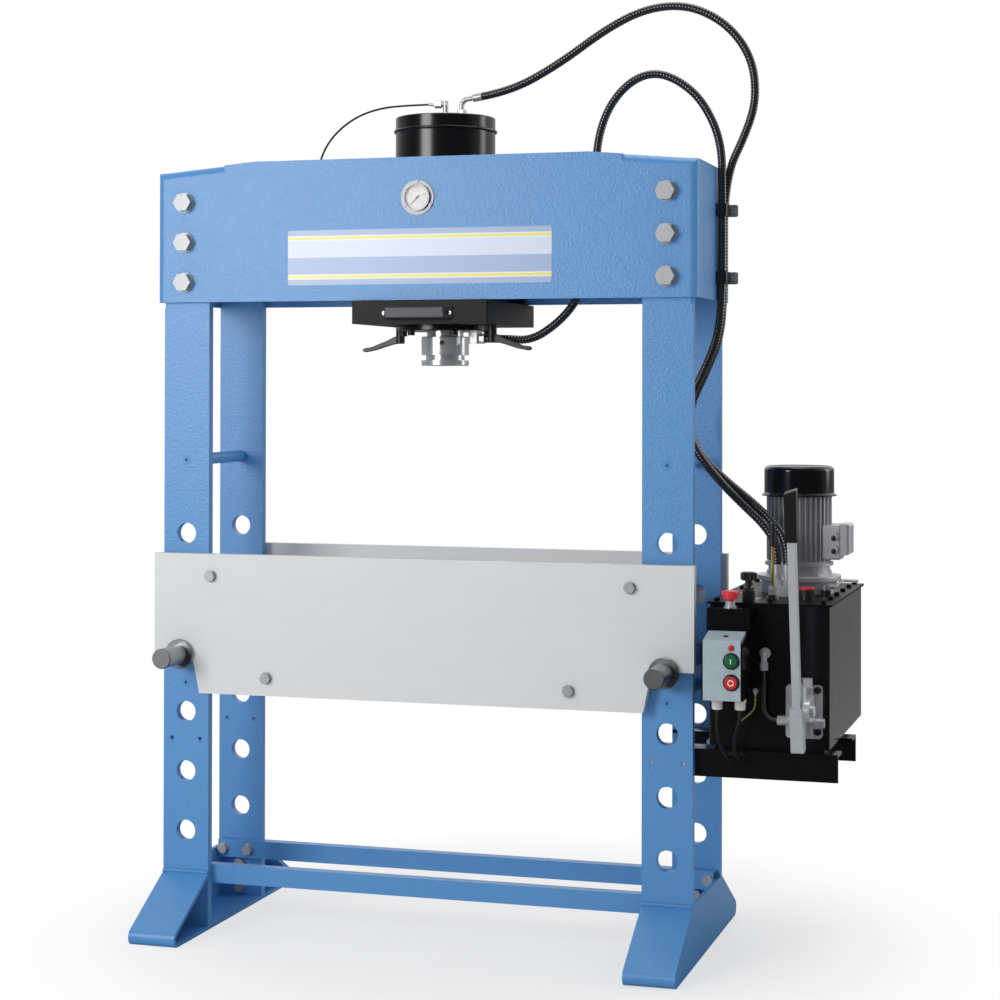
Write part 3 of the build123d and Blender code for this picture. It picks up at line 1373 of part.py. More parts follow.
def estop_button():
    """Mushroom button of the emergency stop, with its stem."""
    spot = (estop_x, estop_y)
    low = estop_top + 16 + estop_travel
    cap = rod("z", spot, estop_diameter / 2 - 3, low, low + 19)
    cap += rod("z", spot, estop_diameter / 2, low + 9, low + 19)
    cap = fillet(cap.edges().group_by(Axis.Z)[-1], 5.0)
    return cap + rod("z", spot, estop_stem / 2, estop_top - 40, low + 1)


def estop_collar():
    """Chromed collar under the mushroom button."""
    spot = (estop_x, estop_y)
    collar = ring("z", spot, 11.5, estop_stem / 2 + 0.3, estop_top, estop_top + 15)
    return collar + ring("z", spot, 14.5, estop_stem / 2 + 0.3, estop_top, estop_top + 4)


def cable_glands():
    """Plastic glands under the switch box, for the two cables."""
    glands = []
    for spot in gland_spots:
        gland = hexagon("z", spot, 25.0, switch_bottom - 9, switch_bottom)
        dome = rod("z", spot, 12.5, switch_bottom - gland_drop, switch_bottom - 8)
        gland += fillet(dome.edges().group_by(Axis.Z)[0], 4.0)
        glands.append(gland)
    return glands


def hose_route(points, diameter, name):
    """Plain tube along a route: straight runs joined by arcs as large as the runs allow."""
    corners = [Vector(*p) for p in points]
    radii = []
    for before, here, after in zip(corners, corners[1:], corners[2:]):
        turn = (here - before).get_angle(after - here)
        run = min((here - before).length, (after - here).length)
        radii.append(0.45 * run / math.tan(math.radians(turn / 2)))
    path = FilletPolyline(*points, radius=radii)
    tube = swept(path, diameter / 2)
    print(f"{name}: length {path.length:.0f} mm, radii from {min(radii):.0f} to {max(radii):.0f} mm")
    return tube


clamp_front_y, clamp_rear_y = clamp_hose_ys

hose_a_turn = math.radians(hose_a_rise)
hose_a_lead = (hose_a_start[0] + 76.0 * math.cos(hose_a_turn), middle_y,
               hose_a_start[2] + 76.0 * math.sin(hose_a_turn))
hose_a_points = [
    hose_a_start, hose_a_lead, (300.0, 186.0, 2172.0), (430.0, 192.0, 2262.0),
    (530.0, 198.0, 2306.0), (632.0, 204.0, 2308.0), (724.0, 211.0, 2258.0), (782.0, 218.0, 2176.0),
    (793.0, 225.0, 2080.0), (770.0, 229.0, 2000.0), (clamp_hose_x, clamp_rear_y, 1880.0),
    (clamp_hose_x, clamp_rear_y, 1612.0), (703.0, 233.0, 1494.0), (668.0, 231.0, 1408.0), (633.0, 228.0, 1336.0),
    (622.0, 226.0, 1272.0), (652.0, 223.0, 1203.0), (716.0, 219.0, 1142.0), (786.0, 215.0, 1088.0),
    (842.0, 210.0, 1036.0), (hose_ports[0][0], 205.0, 992.0), (hose_ports[0][0], 205.0, hose_end_height),
]

hose_b_points = [
    (hose_b_start_x, 150.0, port_height), (176.0, 150.0, port_height), (240.0, 153.0, 1484.0),
    (300.0, 157.0, 1520.0), (350.0, 161.0, 1572.0), (384.0, 165.0, 1645.0), (398.0, 168.0, 1745.0),
    (400.0, 172.0, 1870.0), (404.0, 176.0, 1980.0), (432.0, 181.0, 2064.0), (484.0, 187.0, 2124.0),
    (546.0, 193.0, 2146.0), (611.0, 199.0, 2120.0), (667.0, 204.0, 2066.0), (709.5, 209.0, 1970.0),
    (clamp_hose_x, clamp_front_y, 1846.0), (clamp_hose_x, clamp_front_y, 1612.0), (702.0, 211.0, 1496.0),
    (667.0, 208.0, 1411.0), (632.0, 205.0, 1342.0), (622.0, 203.0, 1276.0), (650.0, 201.0, 1208.0),
    (708.0, 200.0, 1138.0), (768.0, 200.0, 1080.0), (816.0, 200.0, 1036.0), (hose_ports[1][0], 200.0, 988.0),
    (hose_ports[1][0], 200.0, hose_end_height),
]

gauge_line_points = [
    (gauge_elbow_x - 44, middle_y, gauge_line_height), (-95.0, middle_y, gauge_line_height),
    (-160.0, 171.0, 2079.0), (-216.0, 152.0, 2059.0), (-262.0, 131.0, 2022.0), (-293.0, 112.0, 1974.0),
    (-304.0, 94.0, 1918.0), (-290.0, 76.0, 1866.0), (-251.0, 58.0, 1826.0), (-198.0, 44.0, 1808.0),
    (-138.0, 38.0, 1810.0), (-78.0, gauge_back + 16, gauge_height), (-19.0, gauge_back + 16, gauge_height),
]

left_cable_points = [
    (755.0, -76.0, gland_bottom), (755.0, -76.0, 585.0), (758.0, -70.0, 549.0), (766.0, -50.0, 520.0),
    (cable_exits[0][0], -16.0, cable_exits[0][1]), (cable_exits[0][0], grommet_front, cable_exits[0][1]),
]

right_cable_points = [
    (808.0, -72.0, gland_bottom), (808.0, -72.0, 602.0), (798.0, -67.0, 573.0), (789.0, -50.0, 540.0),
    (790.0, -30.0, 512.0), (cable_exits[1][0], -6.0, cable_exits[1][1]),
    (cable_exits[1][0], grommet_front, cable_exits[1][1]),
]

earth_wire_points = [
    (earth_spot[0], earth_wire_y, 648.0), (earth_spot[0], earth_wire_y, 634.0), (827.0, 15.0, 618.0),
    (819.0, 3.0, 606.0), (808.0, -15.0, 598.0), (803.0, -35.0, 594.0), (802.4, -63.6, 592.0),
]


def earth_lug():
    """Screw and ring terminal of the earth wire on the tank's front."""
    lug = rod("y", earth_spot, 6.5, tank_front - 1.5, tank_front)
    lug += rod("y", earth_spot, 5.0, tank_front - 6, tank_front - 1)
    return lug + rod("z", (earth_spot[0], earth_wire_y), 3.2, 648.0, earth_spot[1])


def build_nodes():
    """Every piece of the press, as lists of solids under the name of its node."""
    front_shell = beam_shell()
    rear_shell = mirrored(front_shell, "y", middle_y)
    front_shell -= rod("y", (0.0, gauge_height), gauge_dial / 2 + gauge_wall + 0.3, -beam_plate - 1, 1)
    case, dial, glass, pointer = gauge()
    bands, clamp_metal = hose_clamps()
    return {
        "beam_front_shell": [front_shell],
        "beam_rear_shell": [rear_shell],
        "uprights_front": uprights(True),
        "uprights_rear": uprights(False),
        "foot_left": [foot(-1)],
        "foot_right": [foot(1)],
        "frame_bars": frame_ties() + beam_rails(),
        "frame_bolts": frame_bolts(),
        "hose_clamps": clamp_metal,
        "clamp_bands": bands + grommets(),
        "gauge_case": [case],
        "gauge_dial": [dial],
        "gauge_glass": [glass],
        "gauge_pointer": [pointer],
        "carriage_box": [carriage_box()],
        "wheelset_left": [wheelset(-1)],
        "wheelset_right": [wheelset(1)],
        "cylinder": cylinder(),
        "cylinder_fittings": cylinder_fittings(),
        "carriage_handle": [carriage_handle()],
        "carriage_screws": carriage_screws(),
        "clamp_lever_left": [clamp_lever(-1)],
        "clamp_lever_right": [clamp_lever(1)],
        "piston_rod": [piston_rod()] + piston_seals(),
        "table_front_plate": [table_plate_solid(table_front)],
        "table_rear_plate": [table_plate_solid(table_rear)],
        "table_bolts": table_bolts(),
        "pin_left": [table_pin(-1)],
        "pin_right": [table_pin(1)],
        "bracket_arms": bracket_arms(),
        "tank_shell": [tank_shell()],
        "tank_lid": tank_lid(),
        "motor_frame": [motor_frame(), stator()],
        "fan_cover": [fan_cover()],
        "motor_rotor": [motor_rotor()],
        "gear_pump": [gear_pump()],
        "hand_pump_body": [hand_pump_body()],
        "hand_pump_lever": [hand_pump_lever()],
        "lever_grip": [lever_grip()],
        "hand_pump_piston": [pump_piston()],
        "pressure_tube": [pressure_tube()],
        "tank_fittings": lid_fittings() + [rod_valve_base(), estop_collar(), earth_lug()],
        "valve_bodies": valve_bodies() + pump_screws(),
        "rod_valve_lever": [rod_valve_lever()],
        "star_knob": [star_knob()],
        "filler_cap": [filler_cap()],
        "release_lever": [release_lever()],
        "control_boxes": control_boxes(),
        "switch_cover": [switch_cover()],
        "start_button": [push_button(start_height)],
        "stop_button": [push_button(stop_height)],
        "estop_button": [estop_button()],
        "pilot_lamp": [pilot_lamp()],
        "hose_a": [hose_route(hose_a_points, hose_diameter, "hose_a")],
        "hose_b": [hose_route(hose_b_points, hose_diameter, "hose_b")],
        "gauge_line": [hose_route(gauge_line_points, gauge_line_diameter, "gauge_line")],
        "cable_left": [hose_route(left_cable_points, cable_diameter, "cable_left")],
        "cable_right": [hose_route(right_cable_points, cable_diameter, "cable_right")],
        "earth_wire": [hose_route(earth_wire_points, earth_wire_diameter, "earth_wire")],
        "cable_glands": cable_glands(),
    }


def main():
    os.makedirs("parts", exist_ok=True)
    for name, solids in build_nodes().items():
        placed = [Pos(-origin_x, -origin_y, 0) * solid for solid in solids]
        whole = placed[0] if len(placed) == 1 else Compound(children=placed)
        export_step(whole, f"parts/{name}.step")


main()
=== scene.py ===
import math

import bpy
import numpy as np
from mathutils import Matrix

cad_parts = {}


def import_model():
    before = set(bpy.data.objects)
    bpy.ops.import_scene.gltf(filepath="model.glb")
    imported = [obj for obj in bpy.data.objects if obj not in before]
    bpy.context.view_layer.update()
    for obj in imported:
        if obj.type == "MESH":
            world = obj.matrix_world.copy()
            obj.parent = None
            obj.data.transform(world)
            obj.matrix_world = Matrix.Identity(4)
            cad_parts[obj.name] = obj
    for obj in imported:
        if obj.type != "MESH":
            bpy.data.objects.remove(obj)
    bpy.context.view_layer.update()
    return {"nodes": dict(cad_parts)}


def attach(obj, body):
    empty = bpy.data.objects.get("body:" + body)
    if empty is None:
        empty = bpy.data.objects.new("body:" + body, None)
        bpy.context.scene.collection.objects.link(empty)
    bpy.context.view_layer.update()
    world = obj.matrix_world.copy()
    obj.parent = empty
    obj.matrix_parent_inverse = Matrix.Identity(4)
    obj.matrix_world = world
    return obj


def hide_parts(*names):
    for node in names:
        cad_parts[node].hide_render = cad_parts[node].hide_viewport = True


bl_info = {
    "name": "Workshop Press Dresser",
    "version": (1, 0, 0),
    "blender": (4, 5, 0),
    "location": "3D View > Sidebar > Press",
    "description": "Gives the workshop press its paint, steel, hoses, cables and small fittings",
    "category": "Object",
}

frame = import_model()

# The frame's zero in metres from the press's own, which is midway between the uprights at their front
FRAME_ZERO = np.array((0.1615, 0.207, 0.0))

# Places on the press, counted from its own zero
BEAM_FRONT = -0.015
PANEL_MIDDLE = 1.688
DIAL_CENTRE = (0.0, 1.831)
DIAL_FACE = -0.01595
CYLINDER_CENTRE = (0.007, 0.1825)
HEAD_SEAM = 2.0125
FOOT_SEAM = (-0.0025, 0.1455)
SPACER_HEIGHTS = (0.621, 1.183)
HANDLE_FOOT = -0.020
SWITCH_FRONT = -0.130
BUTTON_FACE = SWITCH_FRONT - 0.009
BUTTON_COLUMN = 0.798
START_HEIGHT = 0.743
STOP_HEIGHT = 0.694
COVER_SCREW = (0.7795, -0.0989, 0.7985)
PIPE_CORNER = (0.882, 0.0, 0.708)
FEED_BOX = (0.972, 0.289)
FEED_HEIGHTS = (0.968, 1.000)
LID = 0.863
CAP_RIM = LID + 0.0245
GRIP_FOOT = LID + 0.127


def from_press(points):
    """Points counted from the press's own zero, moved to the frame's zero."""
    return np.asarray(points, float) - FRAME_ZERO


# Shader maths

class Signal:
    """A node's output that Python's own operators can combine."""

    def __init__(self, recipe, socket):
        self.recipe = recipe
        self.socket = socket

    def maths(self, operation, *values):
        sockets = dict(enumerate(values))
        return self.recipe.node("ShaderNodeMath", {"operation": operation}, sockets)

    def __add__(self, other):
        return self.maths("ADD", self, other)

    def __sub__(self, other):
        return self.maths("SUBTRACT", self, other)

    def __rsub__(self, other):
        return self.maths("SUBTRACT", other, self)

    def __mul__(self, other):
        return self.maths("MULTIPLY", self, other)

    def __gt__(self, other):
        return self.maths("GREATER_THAN", self, other)

    def __lt__(self, other):
        return self.maths("LESS_THAN", self, other)

    def __abs__(self):
        return self.maths("ABSOLUTE", self)

    __radd__ = __add__
    __rmul__ = __mul__

    def clamped(self):
        return self.recipe.node("ShaderNodeClamp", {}, {"Value": self})

    def most(self, other):
        return self.maths("MAXIMUM", self, other)


class Recipe:
    """A finish being mixed: a material, its surface shader and its nodes."""

    def __init__(self, name, colour, roughness, metallic=0.0, **plain):
        self.material = bpy.data.materials.new(name)
        self.material.use_nodes = True
        self.tree = self.material.node_tree
        self.shader = self.tree.nodes["Principled BSDF"]
        plain.update({"Base Color": (*colour, 1.0), "Roughness": roughness, "Metallic": metallic})
        for socket, value in plain.items():
            self.shader.inputs[socket].default_value = value

    def node(self, kind, settings=None, sockets=None, output=0):
        node = self.tree.nodes.new(kind)
        for name, value in (settings or {}).items():
            setattr(node, name, value)
        for name, value in (sockets or {}).items():
            self.join(node.inputs[name], value)
        return Signal(self, node.outputs[output])

    def join(self, socket, value):
        if isinstance(value, Signal):
            self.tree.links.new(value.socket, socket)
        else:
            socket.default_value = value

    def feed(self, name, value):
        self.join(self.shader.inputs[name], value)
        return self

    def place(self):
        return self.node("ShaderNodeTexCoord", {}, {}, "Object")

    def along(self, axis, place=None):
        place = place or self.place()
        return self.node("ShaderNodeSeparateXYZ", {}, {"Vector": place}, axis)

    def noise(self, scale, detail=2.0, rough=0.5, stretch=None):
        place = self.place()
        if stretch:
            place = self.node("ShaderNodeMapping", {}, {"Vector": place, "Scale": stretch})
        sockets = {"Vector": place, "Scale": scale, "Detail": detail, "Roughness": rough}
        return self.node("ShaderNodeTexNoise", {}, sockets)

    def mix(self, factor, first, second):
        sockets = {0: factor}
        for key, tone in ((6, first), (7, second)):
            sockets[key] = tone if isinstance(tone, Signal) else (*tone, 1.0)
        return self.node("ShaderNodeMix", {"data_type": "RGBA"}, sockets, 2)

    def bump(self, height, distance, strength=1.0):
        sockets = {"Height": height, "Distance": distance, "Strength": strength}
        return self.feed("Normal", self.node("ShaderNodeBump", {}, sockets))


def shade(colour, factor):
    """The colour made lighter or darker by a factor."""
    return tuple(min(1.0, part * factor) for part in colour[:3])


# Finishes

def press_paint(name, colour):
    """Textured enamel: a fine orange peel, faint clouds and a slightly uneven gloss."""
    recipe = Recipe(name, colour, 0.36, **{"Specular IOR Level": 0.7})
    peel = recipe.noise(170.0, 3.0, 0.6)
    cloud = recipe.noise(5.0, 2.0)
    recipe.feed("Base Color", recipe.mix(cloud * 0.6 + peel * 0.4, shade(colour, 0.92), shade(colour, 1.08)))
    recipe.feed("Roughness", 0.30 + 0.16 * peel)
    return recipe.bump(peel, 0.0018, 0.55).material


def table_paint(name, colour):
    """Smooth light paint over a rolled plate, with faint long waves."""
    recipe = Recipe(name, colour, 0.42)
    peel = recipe.noise(420.0, 2.0)
    wave = recipe.noise(7.0, 3.0, 0.6, stretch=(1.0, 1.0, 3.0))
    recipe.feed("Base Color", recipe.mix(wave, shade(colour, 0.965), shade(colour, 1.02)))
    recipe.feed("Roughness", 0.36 + 0.12 * peel)
    return recipe.bump(peel, 0.0003, 0.25).material


def gloss_enamel(name, colour, roughness=0.22, grain=260.0, shine=0.5):
    """Black enamel: a soft orange peel under a clear gloss, with a little dust in its roughness."""
    recipe = Recipe(name, colour, roughness, **{"Specular IOR Level": shine})
    peel = recipe.noise(grain, 2.0)
    dust = recipe.noise(9.0, 5.0, 0.65)
    recipe.feed("Base Color", recipe.mix(dust, colour, shade(colour, 1.9)))
    recipe.feed("Roughness", roughness - 0.05 + 0.12 * dust)
    return recipe.bump(peel, 0.0001, 0.2).material


def two_tone(name, where, first, second):
    """Two finishes on one piece, each a colour, a roughness and a metal share; the second one shows
    where the test holds, such as above a height."""
    recipe = Recipe(name, *first)
    mask = where(recipe)
    cloud = recipe.noise(45.0, 3.0, 0.6)
    tones = [recipe.mix(cloud, shade(tone, 0.86), shade(tone, 1.1)) for tone in (first[0], second[0])]
    recipe.feed("Base Color", recipe.mix(mask, *tones))
    recipe.feed("Roughness", first[1] - 0.04 + mask * (second[1] - first[1]) + cloud * 0.12)
    recipe.feed("Metallic", first[2] + mask * (second[2] - first[2]))
    return recipe.bump(recipe.noise(700.0, 2.0), 0.0002, 0.3).material


def above(level):
    """Test for two_tone: higher than a level."""
    return lambda recipe: recipe.along("Z") > level


def before(depth):
    """Test for two_tone: nearer to the front than a depth."""
    return lambda recipe: recipe.along("Y") < depth


def near(point, reach):
    """Test for two_tone: within reach of a point."""
    def test(recipe):
        sockets = {0: recipe.place(), 1: tuple(point)}
        return recipe.node("ShaderNodeVectorMath", {"operation": "DISTANCE"}, sockets, "Value") < reach
    return test


def zinc_plate(name, colour, roughness=0.44, metal=0.6):
    """Zinc-plated steel: clouded brightness and a fine grain."""
    recipe = Recipe(name, colour, roughness, metal)
    cloud = recipe.noise(60.0, 3.0, 0.6)
    grain = recipe.noise(900.0, 2.0)
    recipe.feed("Base Color", recipe.mix(cloud, shade(colour, 0.82), shade(colour, 1.1)))
    recipe.feed("Roughness", roughness - 0.06 + 0.16 * cloud)
    return recipe.bump(grain, 0.0002, 0.3).material


def turned_steel(name, colour, axis, roughness=0.24, metal=1.0):
    """Machined steel: fine rings across the turning axis."""
    recipe = Recipe(name, colour, roughness, metal)
    stretch = [14.0, 14.0, 14.0]
    stretch["XYZ".index(axis)] = 2600.0
    rings = recipe.noise(1.0, 3.0, 0.7, stretch=tuple(stretch))
    cloud = recipe.noise(30.0, 3.0)
    recipe.feed("Base Color", recipe.mix(cloud, shade(colour, 0.88), shade(colour, 1.06)))
    recipe.feed("Roughness", roughness - 0.06 + 0.14 * rings)
    return recipe.bump(rings, 0.0002, 0.35).material


def cast_metal(name, colour, roughness=0.42, grain=260.0, metal=0.65):
    """Cast alloy or its silver paint: a sandy skin with darker hollows."""
    recipe = Recipe(name, colour, roughness, metal)
    sand = recipe.noise(grain, 4.0, 0.65)
    cloud = recipe.noise(16.0, 3.0)
    recipe.feed("Base Color", recipe.mix(cloud * 0.5 + sand * 0.5, shade(colour, 0.78), shade(colour, 1.14)))
    recipe.feed("Roughness", roughness - 0.06 + 0.16 * sand)
    return recipe.bump(sand, 0.0007, 0.4).material


def moulded_plastic(name, colour, roughness=0.4, grain=500.0, depth=0.0001):
    """Moulded plastic: a fine even grain, with faint flow clouds."""
    recipe = Recipe(name, colour, roughness)
    fine = recipe.noise(grain, 2.0)
    cloud = recipe.noise(25.0, 2.0)
    recipe.feed("Base Color", recipe.mix(cloud, shade(colour, 0.94), shade(colour, 1.06)))
    recipe.feed("Roughness", roughness - 0.04 + 0.1 * fine)
    return recipe.bump(fine, depth, 0.35).material


def clear_glass(name, colour):
    """Thin clear cover, mostly see-through, with its own gloss."""
    recipe = Recipe(name, colour, 0.04, Alpha=0.12, **{"Specular IOR Level": 0.6})
    smear = recipe.noise(40.0, 3.0)
    recipe.feed("Roughness", 0.03 + 0.05 * smear)
    return recipe.material


def banded_panel(name, pale, deep, line):
    """Printed panel, by height: a pale upper band, a deeper lower band and deeper edges, and near each
    edge a thin line on a white one."""
    line_lift = 0.0478
    line_half = 0.0032
    white_half = 0.0062
    white = (0.80, 0.84, 0.92)
    recipe = Recipe(name, pale, 0.3)
    lift = recipe.along("Z") - PANEL_MIDDLE
    from_line = abs(abs(lift) - line_lift)
    deeper = (lift < 0.0).most(abs(lift) > line_lift)
    tone = recipe.mix(deeper, pale, deep)
    tone = recipe.mix(from_line < white_half, tone, white)
    recipe.feed("Base Color", recipe.mix(from_line < line_half, tone, line))
    grain = recipe.noise(700.0, 2.0)
    recipe.feed("Roughness", 0.26 + 0.08 * grain)
    return recipe.bump(grain, 0.0001, 0.2).material


def spiral_guard(name, colour):
    """Black plastic spiral guard, scuffed in random patches."""
    recipe = Recipe(name, colour, 0.3, **{"Specular IOR Level": 1.0})
    scuff = recipe.noise(120.0, 4.0, 0.7)
    grain = recipe.noise(700.0, 2.0)
    recipe.feed("Base Color", recipe.mix(scuff, shade(colour, 0.7), shade(colour, 2.1)))
    recipe.feed("Roughness", 0.12 + 0.2 * scuff)
    return recipe.bump(grain, 0.0001, 0.2).material


def striped_wire(name, green, yellow):
    """Earth wire: green insulation with one yellow stripe that winds slowly round."""
    turns = 9.0
    stripe = 0.38
    recipe = Recipe(name, green, 0.35)
    place = recipe.node("ShaderNodeUVMap")
    across = recipe.along("Y", place)
    along = recipe.along("X", place)
    turn = recipe.node("ShaderNodeMath", {"operation": "FRACT"}, {0: across + along * turns})
    recipe.feed("Base Color", recipe.mix(turn < stripe, green, yellow))
    grain = recipe.noise(900.0, 2.0)
    recipe.feed("Roughness", 0.3 + 0.1 * grain)
    return recipe.material


# Meshes

def enclosed_volume(points, faces):
    """Signed volume: the sum over all faces, cut into fans, of the corner vectors' triple products,
    over six."""
    total = 0.0
    for count in {len(face) for face in faces}:
        corners = points[np.array([face for face in faces if len(face) == count])]
        first = corners[:, 0]
        for k in range(1, count - 1):
            total += np.einsum("ij,ij->", first, np.cross(corners[:, k], corners[:, k + 1]))
    return total / 6


def new_piece(name, points, faces, material, body, smooth=True, uv=None):
    """A mesh object at the frame's zero, its faces turned outwards, with its finish and its body."""
    if enclosed_volume(points, faces) < 0:
        faces = [tuple(reversed(face)) for face in faces]
    mesh = bpy.data.meshes.new(name)
    mesh.from_pydata(points.tolist(), [], faces)
    if uv is not None:
        layer = mesh.uv_layers.new(name="UVMap")
        corners = np.empty(len(mesh.loops), int)
        mesh.loops.foreach_get("vertex_index", corners)
        layer.data.foreach_set("uv", uv[corners].ravel())
    mesh.polygons.foreach_set("use_smooth", np.full(len(mesh.polygons), smooth))
    mesh.materials.append(material)
    mesh.update()
    piece = bpy.data.objects.new(name, mesh)
    bpy.context.scene.collection.objects.link(piece)
    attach(piece, body)
    return piece


def grid_faces(rows, columns, caps):
    """Quads between the rings of a grid that closes on itself, and a flat face on each end."""
    row, column = np.meshgrid(np.arange(rows - 1), np.arange(columns), indexing="ij")
    after = (column + 1) % columns
    a, b = row * columns + column, row * columns + after
    quads = np.stack((a, b, b + columns, a + columns), axis=-1).reshape(-1, 4)
    faces = [tuple(quad) for quad in quads.tolist()]
    if caps:
        faces.append(tuple(range(columns - 1, -1, -1)))
        faces.append(tuple(range((rows - 1) * columns, rows * columns)))
    return faces


def tube(path, radius, sides, up):
    """Tube about a path: each ring is the path's point plus the radius times cosine and sine of the
    angle along two directions across the path, the first one nearest to up. The radius may differ
    from ring to ring and round each ring."""
    ahead = np.gradient(path, axis=0)
    ahead /= np.linalg.norm(ahead, axis=1, keepdims=True)
    up = np.asarray(up, float)
    first = up - (ahead @ up)[:, None] * ahead
    first /= np.linalg.norm(first, axis=1, keepdims=True)
    second = np.cross(ahead, first)
    angle = np.linspace(0.0, 2 * math.pi, sides, endpoint=False)
    radius = np.broadcast_to(radius, (len(path), sides))[..., None]
    ring = np.cos(angle)[None, :, None] * first[:, None] + np.sin(angle)[None, :, None] * second[:, None]
    return (path[:, None] + radius * ring).reshape(-1, 3)


def lathe(profile, centre, axis, sides):
    """Turned shape: the profile's radii and distances along an axis, spun about it in even steps."""
    profile = np.asarray(profile, float)
    line = np.zeros(3)
    line["XYZ".index(axis)] = 1.0
    first = np.roll(line, 1)
    second = np.cross(line, first)
    angle = np.linspace(0.0, 2 * math.pi, sides, endpoint=False)
    ring = np.cos(angle)[:, None] * first + np.sin(angle)[:, None] * second
    points = profile[:, 0, None, None] * ring[None] + profile[:, 1, None, None] * line
    return points.reshape(-1, 3) + np.asarray(centre)


def turned_piece(name, profile, centre, material, body, smooth=True):
    """A shape turned about Y as a piece; its profile is a closed loop off the axis."""
    sides = 48
    profile = (*profile, profile[0])
    points = lathe(profile, centre, "Y", sides)
    new_piece(name, points, grid_faces(len(profile), sides, False), material, body, smooth)


def slab(outline, low, high, axis="Y"):
    """Flat plate: an outline in the plane across an axis, at a low and a high place along it."""
    layers = [np.insert(outline, "XYZ".index(axis), level, axis=1) for level in (low, high)]
    return np.concatenate(layers), grid_faces(2, len(outline), True)


def rounded_outline(x, z, radius):
    """Corners of a rectangle between x and z limits, each an arc of the radius in five steps."""
    turn = np.linspace(0.0, math.pi / 2, 6)
    arc = np.stack((np.cos(turn), np.sin(turn)), axis=1) * radius
    parts = []
    for quarter, (cx, cz) in enumerate(((x[1], z[1]), (x[0], z[1]), (x[0], z[0]), (x[1], z[0]))):
        spin = quarter * math.pi / 2
        matrix = np.array(((math.cos(spin), math.sin(spin)), (-math.sin(spin), math.cos(spin))))
        inset = np.array((-radius if cx == x[1] else radius, -radius if cz == z[1] else radius))
        parts.append(arc @ matrix + (cx, cz) + inset)
    return np.concatenate(parts)


def joined(shapes):
    """Several point and face lists as one."""
    points, faces, start = [], [], 0
    for shape_points, shape_faces in shapes:
        points.append(shape_points)
        faces += [tuple(index + start for index in face) for face in shape_faces]
        start += len(shape_points)
    return np.concatenate(points), faces


def smooth_route(name, points):
    """Points along the smooth curve that has the route's points as its control points."""
    curve = bpy.data.curves.new(name, "CURVE")
    curve.dimensions = "3D"
    curve.resolution_u = 24
    spline = curve.splines.new("NURBS")
    spline.points.add(len(points) - 1)
    spline.points.foreach_set("co", np.append(points, np.ones((len(points), 1)), axis=1).ravel())
    spline.order_u = 3
    spline.use_endpoint_u = True
    carrier = bpy.data.objects.new(name, curve)
    mesh = bpy.data.meshes.new_from_object(carrier)
    line = np.empty(len(mesh.vertices) * 3)
    mesh.vertices.foreach_get("co", line)
    bpy.data.objects.remove(carrier)
    bpy.data.meshes.remove(mesh)
    bpy.data.curves.remove(curve)
    line = line.reshape(-1, 3)
    steps = np.linalg.norm(np.diff(line, axis=0), axis=1)
    keep = np.concatenate(([True], steps > 1e-7))
    return line[keep]


def even_steps(line, step):
    """The same line with its points spaced evenly, by length along it."""
    reach = np.concatenate(([0.0], np.cumsum(np.linalg.norm(np.diff(line, axis=0), axis=1))))
    count = max(8, int(round(reach[-1] / step)))
    target = np.linspace(0.0, reach[-1], count + 1)
    return np.stack([np.interp(target, reach, line[:, k]) for k in range(3)], axis=1), target


def dress(material, *nodes):
    """Gives CAD nodes their finish."""
    for node in nodes:
        for place in frame["nodes"][node].material_slots:
            place.material = material


HOSE_A = from_press((
    (0.1045, 0.1825, 2.1004), (0.17976, 0.1825, 2.11098), (0.300, 0.186, 2.172), (0.430, 0.192, 2.262),
    (0.530, 0.198, 2.306), (0.632, 0.204, 2.308), (0.724, 0.211, 2.258), (0.782, 0.218, 2.176),
    (0.793, 0.225, 2.080), (0.770, 0.229, 2.000), (0.7105, 0.234, 1.880),
    (0.7105, 0.234, 1.612), (0.703, 0.233, 1.494), (0.668, 0.231, 1.408), (0.633, 0.228, 1.336),
    (0.622, 0.226, 1.272), (0.652, 0.223, 1.203), (0.716, 0.219, 1.142), (0.786, 0.215, 1.088),
    (0.842, 0.210, 1.036), (0.872, 0.205, 0.992), (0.872, 0.205, 0.940),
))

HOSE_B = from_press((
    (0.122, 0.150, 1.489), (0.176, 0.150, 1.489), (0.240, 0.153, 1.484), (0.300, 0.157, 1.520),
    (0.350, 0.161, 1.572), (0.384, 0.165, 1.645), (0.398, 0.168, 1.745), (0.400, 0.172, 1.870),
    (0.404, 0.176, 1.980), (0.432, 0.181, 2.064), (0.484, 0.187, 2.124), (0.546, 0.193, 2.146),
    (0.611, 0.199, 2.120), (0.667, 0.204, 2.066), (0.7095, 0.209, 1.970), (0.7105, 0.212, 1.846),
    (0.7105, 0.212, 1.612), (0.702, 0.211, 1.496), (0.667, 0.208, 1.411), (0.632, 0.205, 1.342),
    (0.622, 0.203, 1.276), (0.650, 0.201, 1.208), (0.708, 0.200, 1.138), (0.768, 0.200, 1.080),
    (0.816, 0.200, 1.036), (0.848, 0.200, 0.988), (0.848, 0.200, 0.940),
))

GAUGE_LINE = from_press((
    (-0.037, 0.1825, 2.0844), (-0.095, 0.1825, 2.0844), (-0.160, 0.171, 2.079), (-0.216, 0.152, 2.059),
    (-0.262, 0.131, 2.022), (-0.293, 0.112, 1.974), (-0.304, 0.094, 1.918), (-0.290, 0.076, 1.866),
    (-0.251, 0.058, 1.826), (-0.198, 0.044, 1.808), (-0.138, 0.038, 1.810), (-0.078, 0.037, 1.831),
    (-0.019, 0.037, 1.831),
))

LEFT_CABLE = from_press((
    (0.755, -0.076, 0.624), (0.755, -0.076, 0.585), (0.758, -0.070, 0.549), (0.766, -0.050, 0.520),
    (0.7695, -0.016, 0.500), (0.7695, 0.0205, 0.500),
))

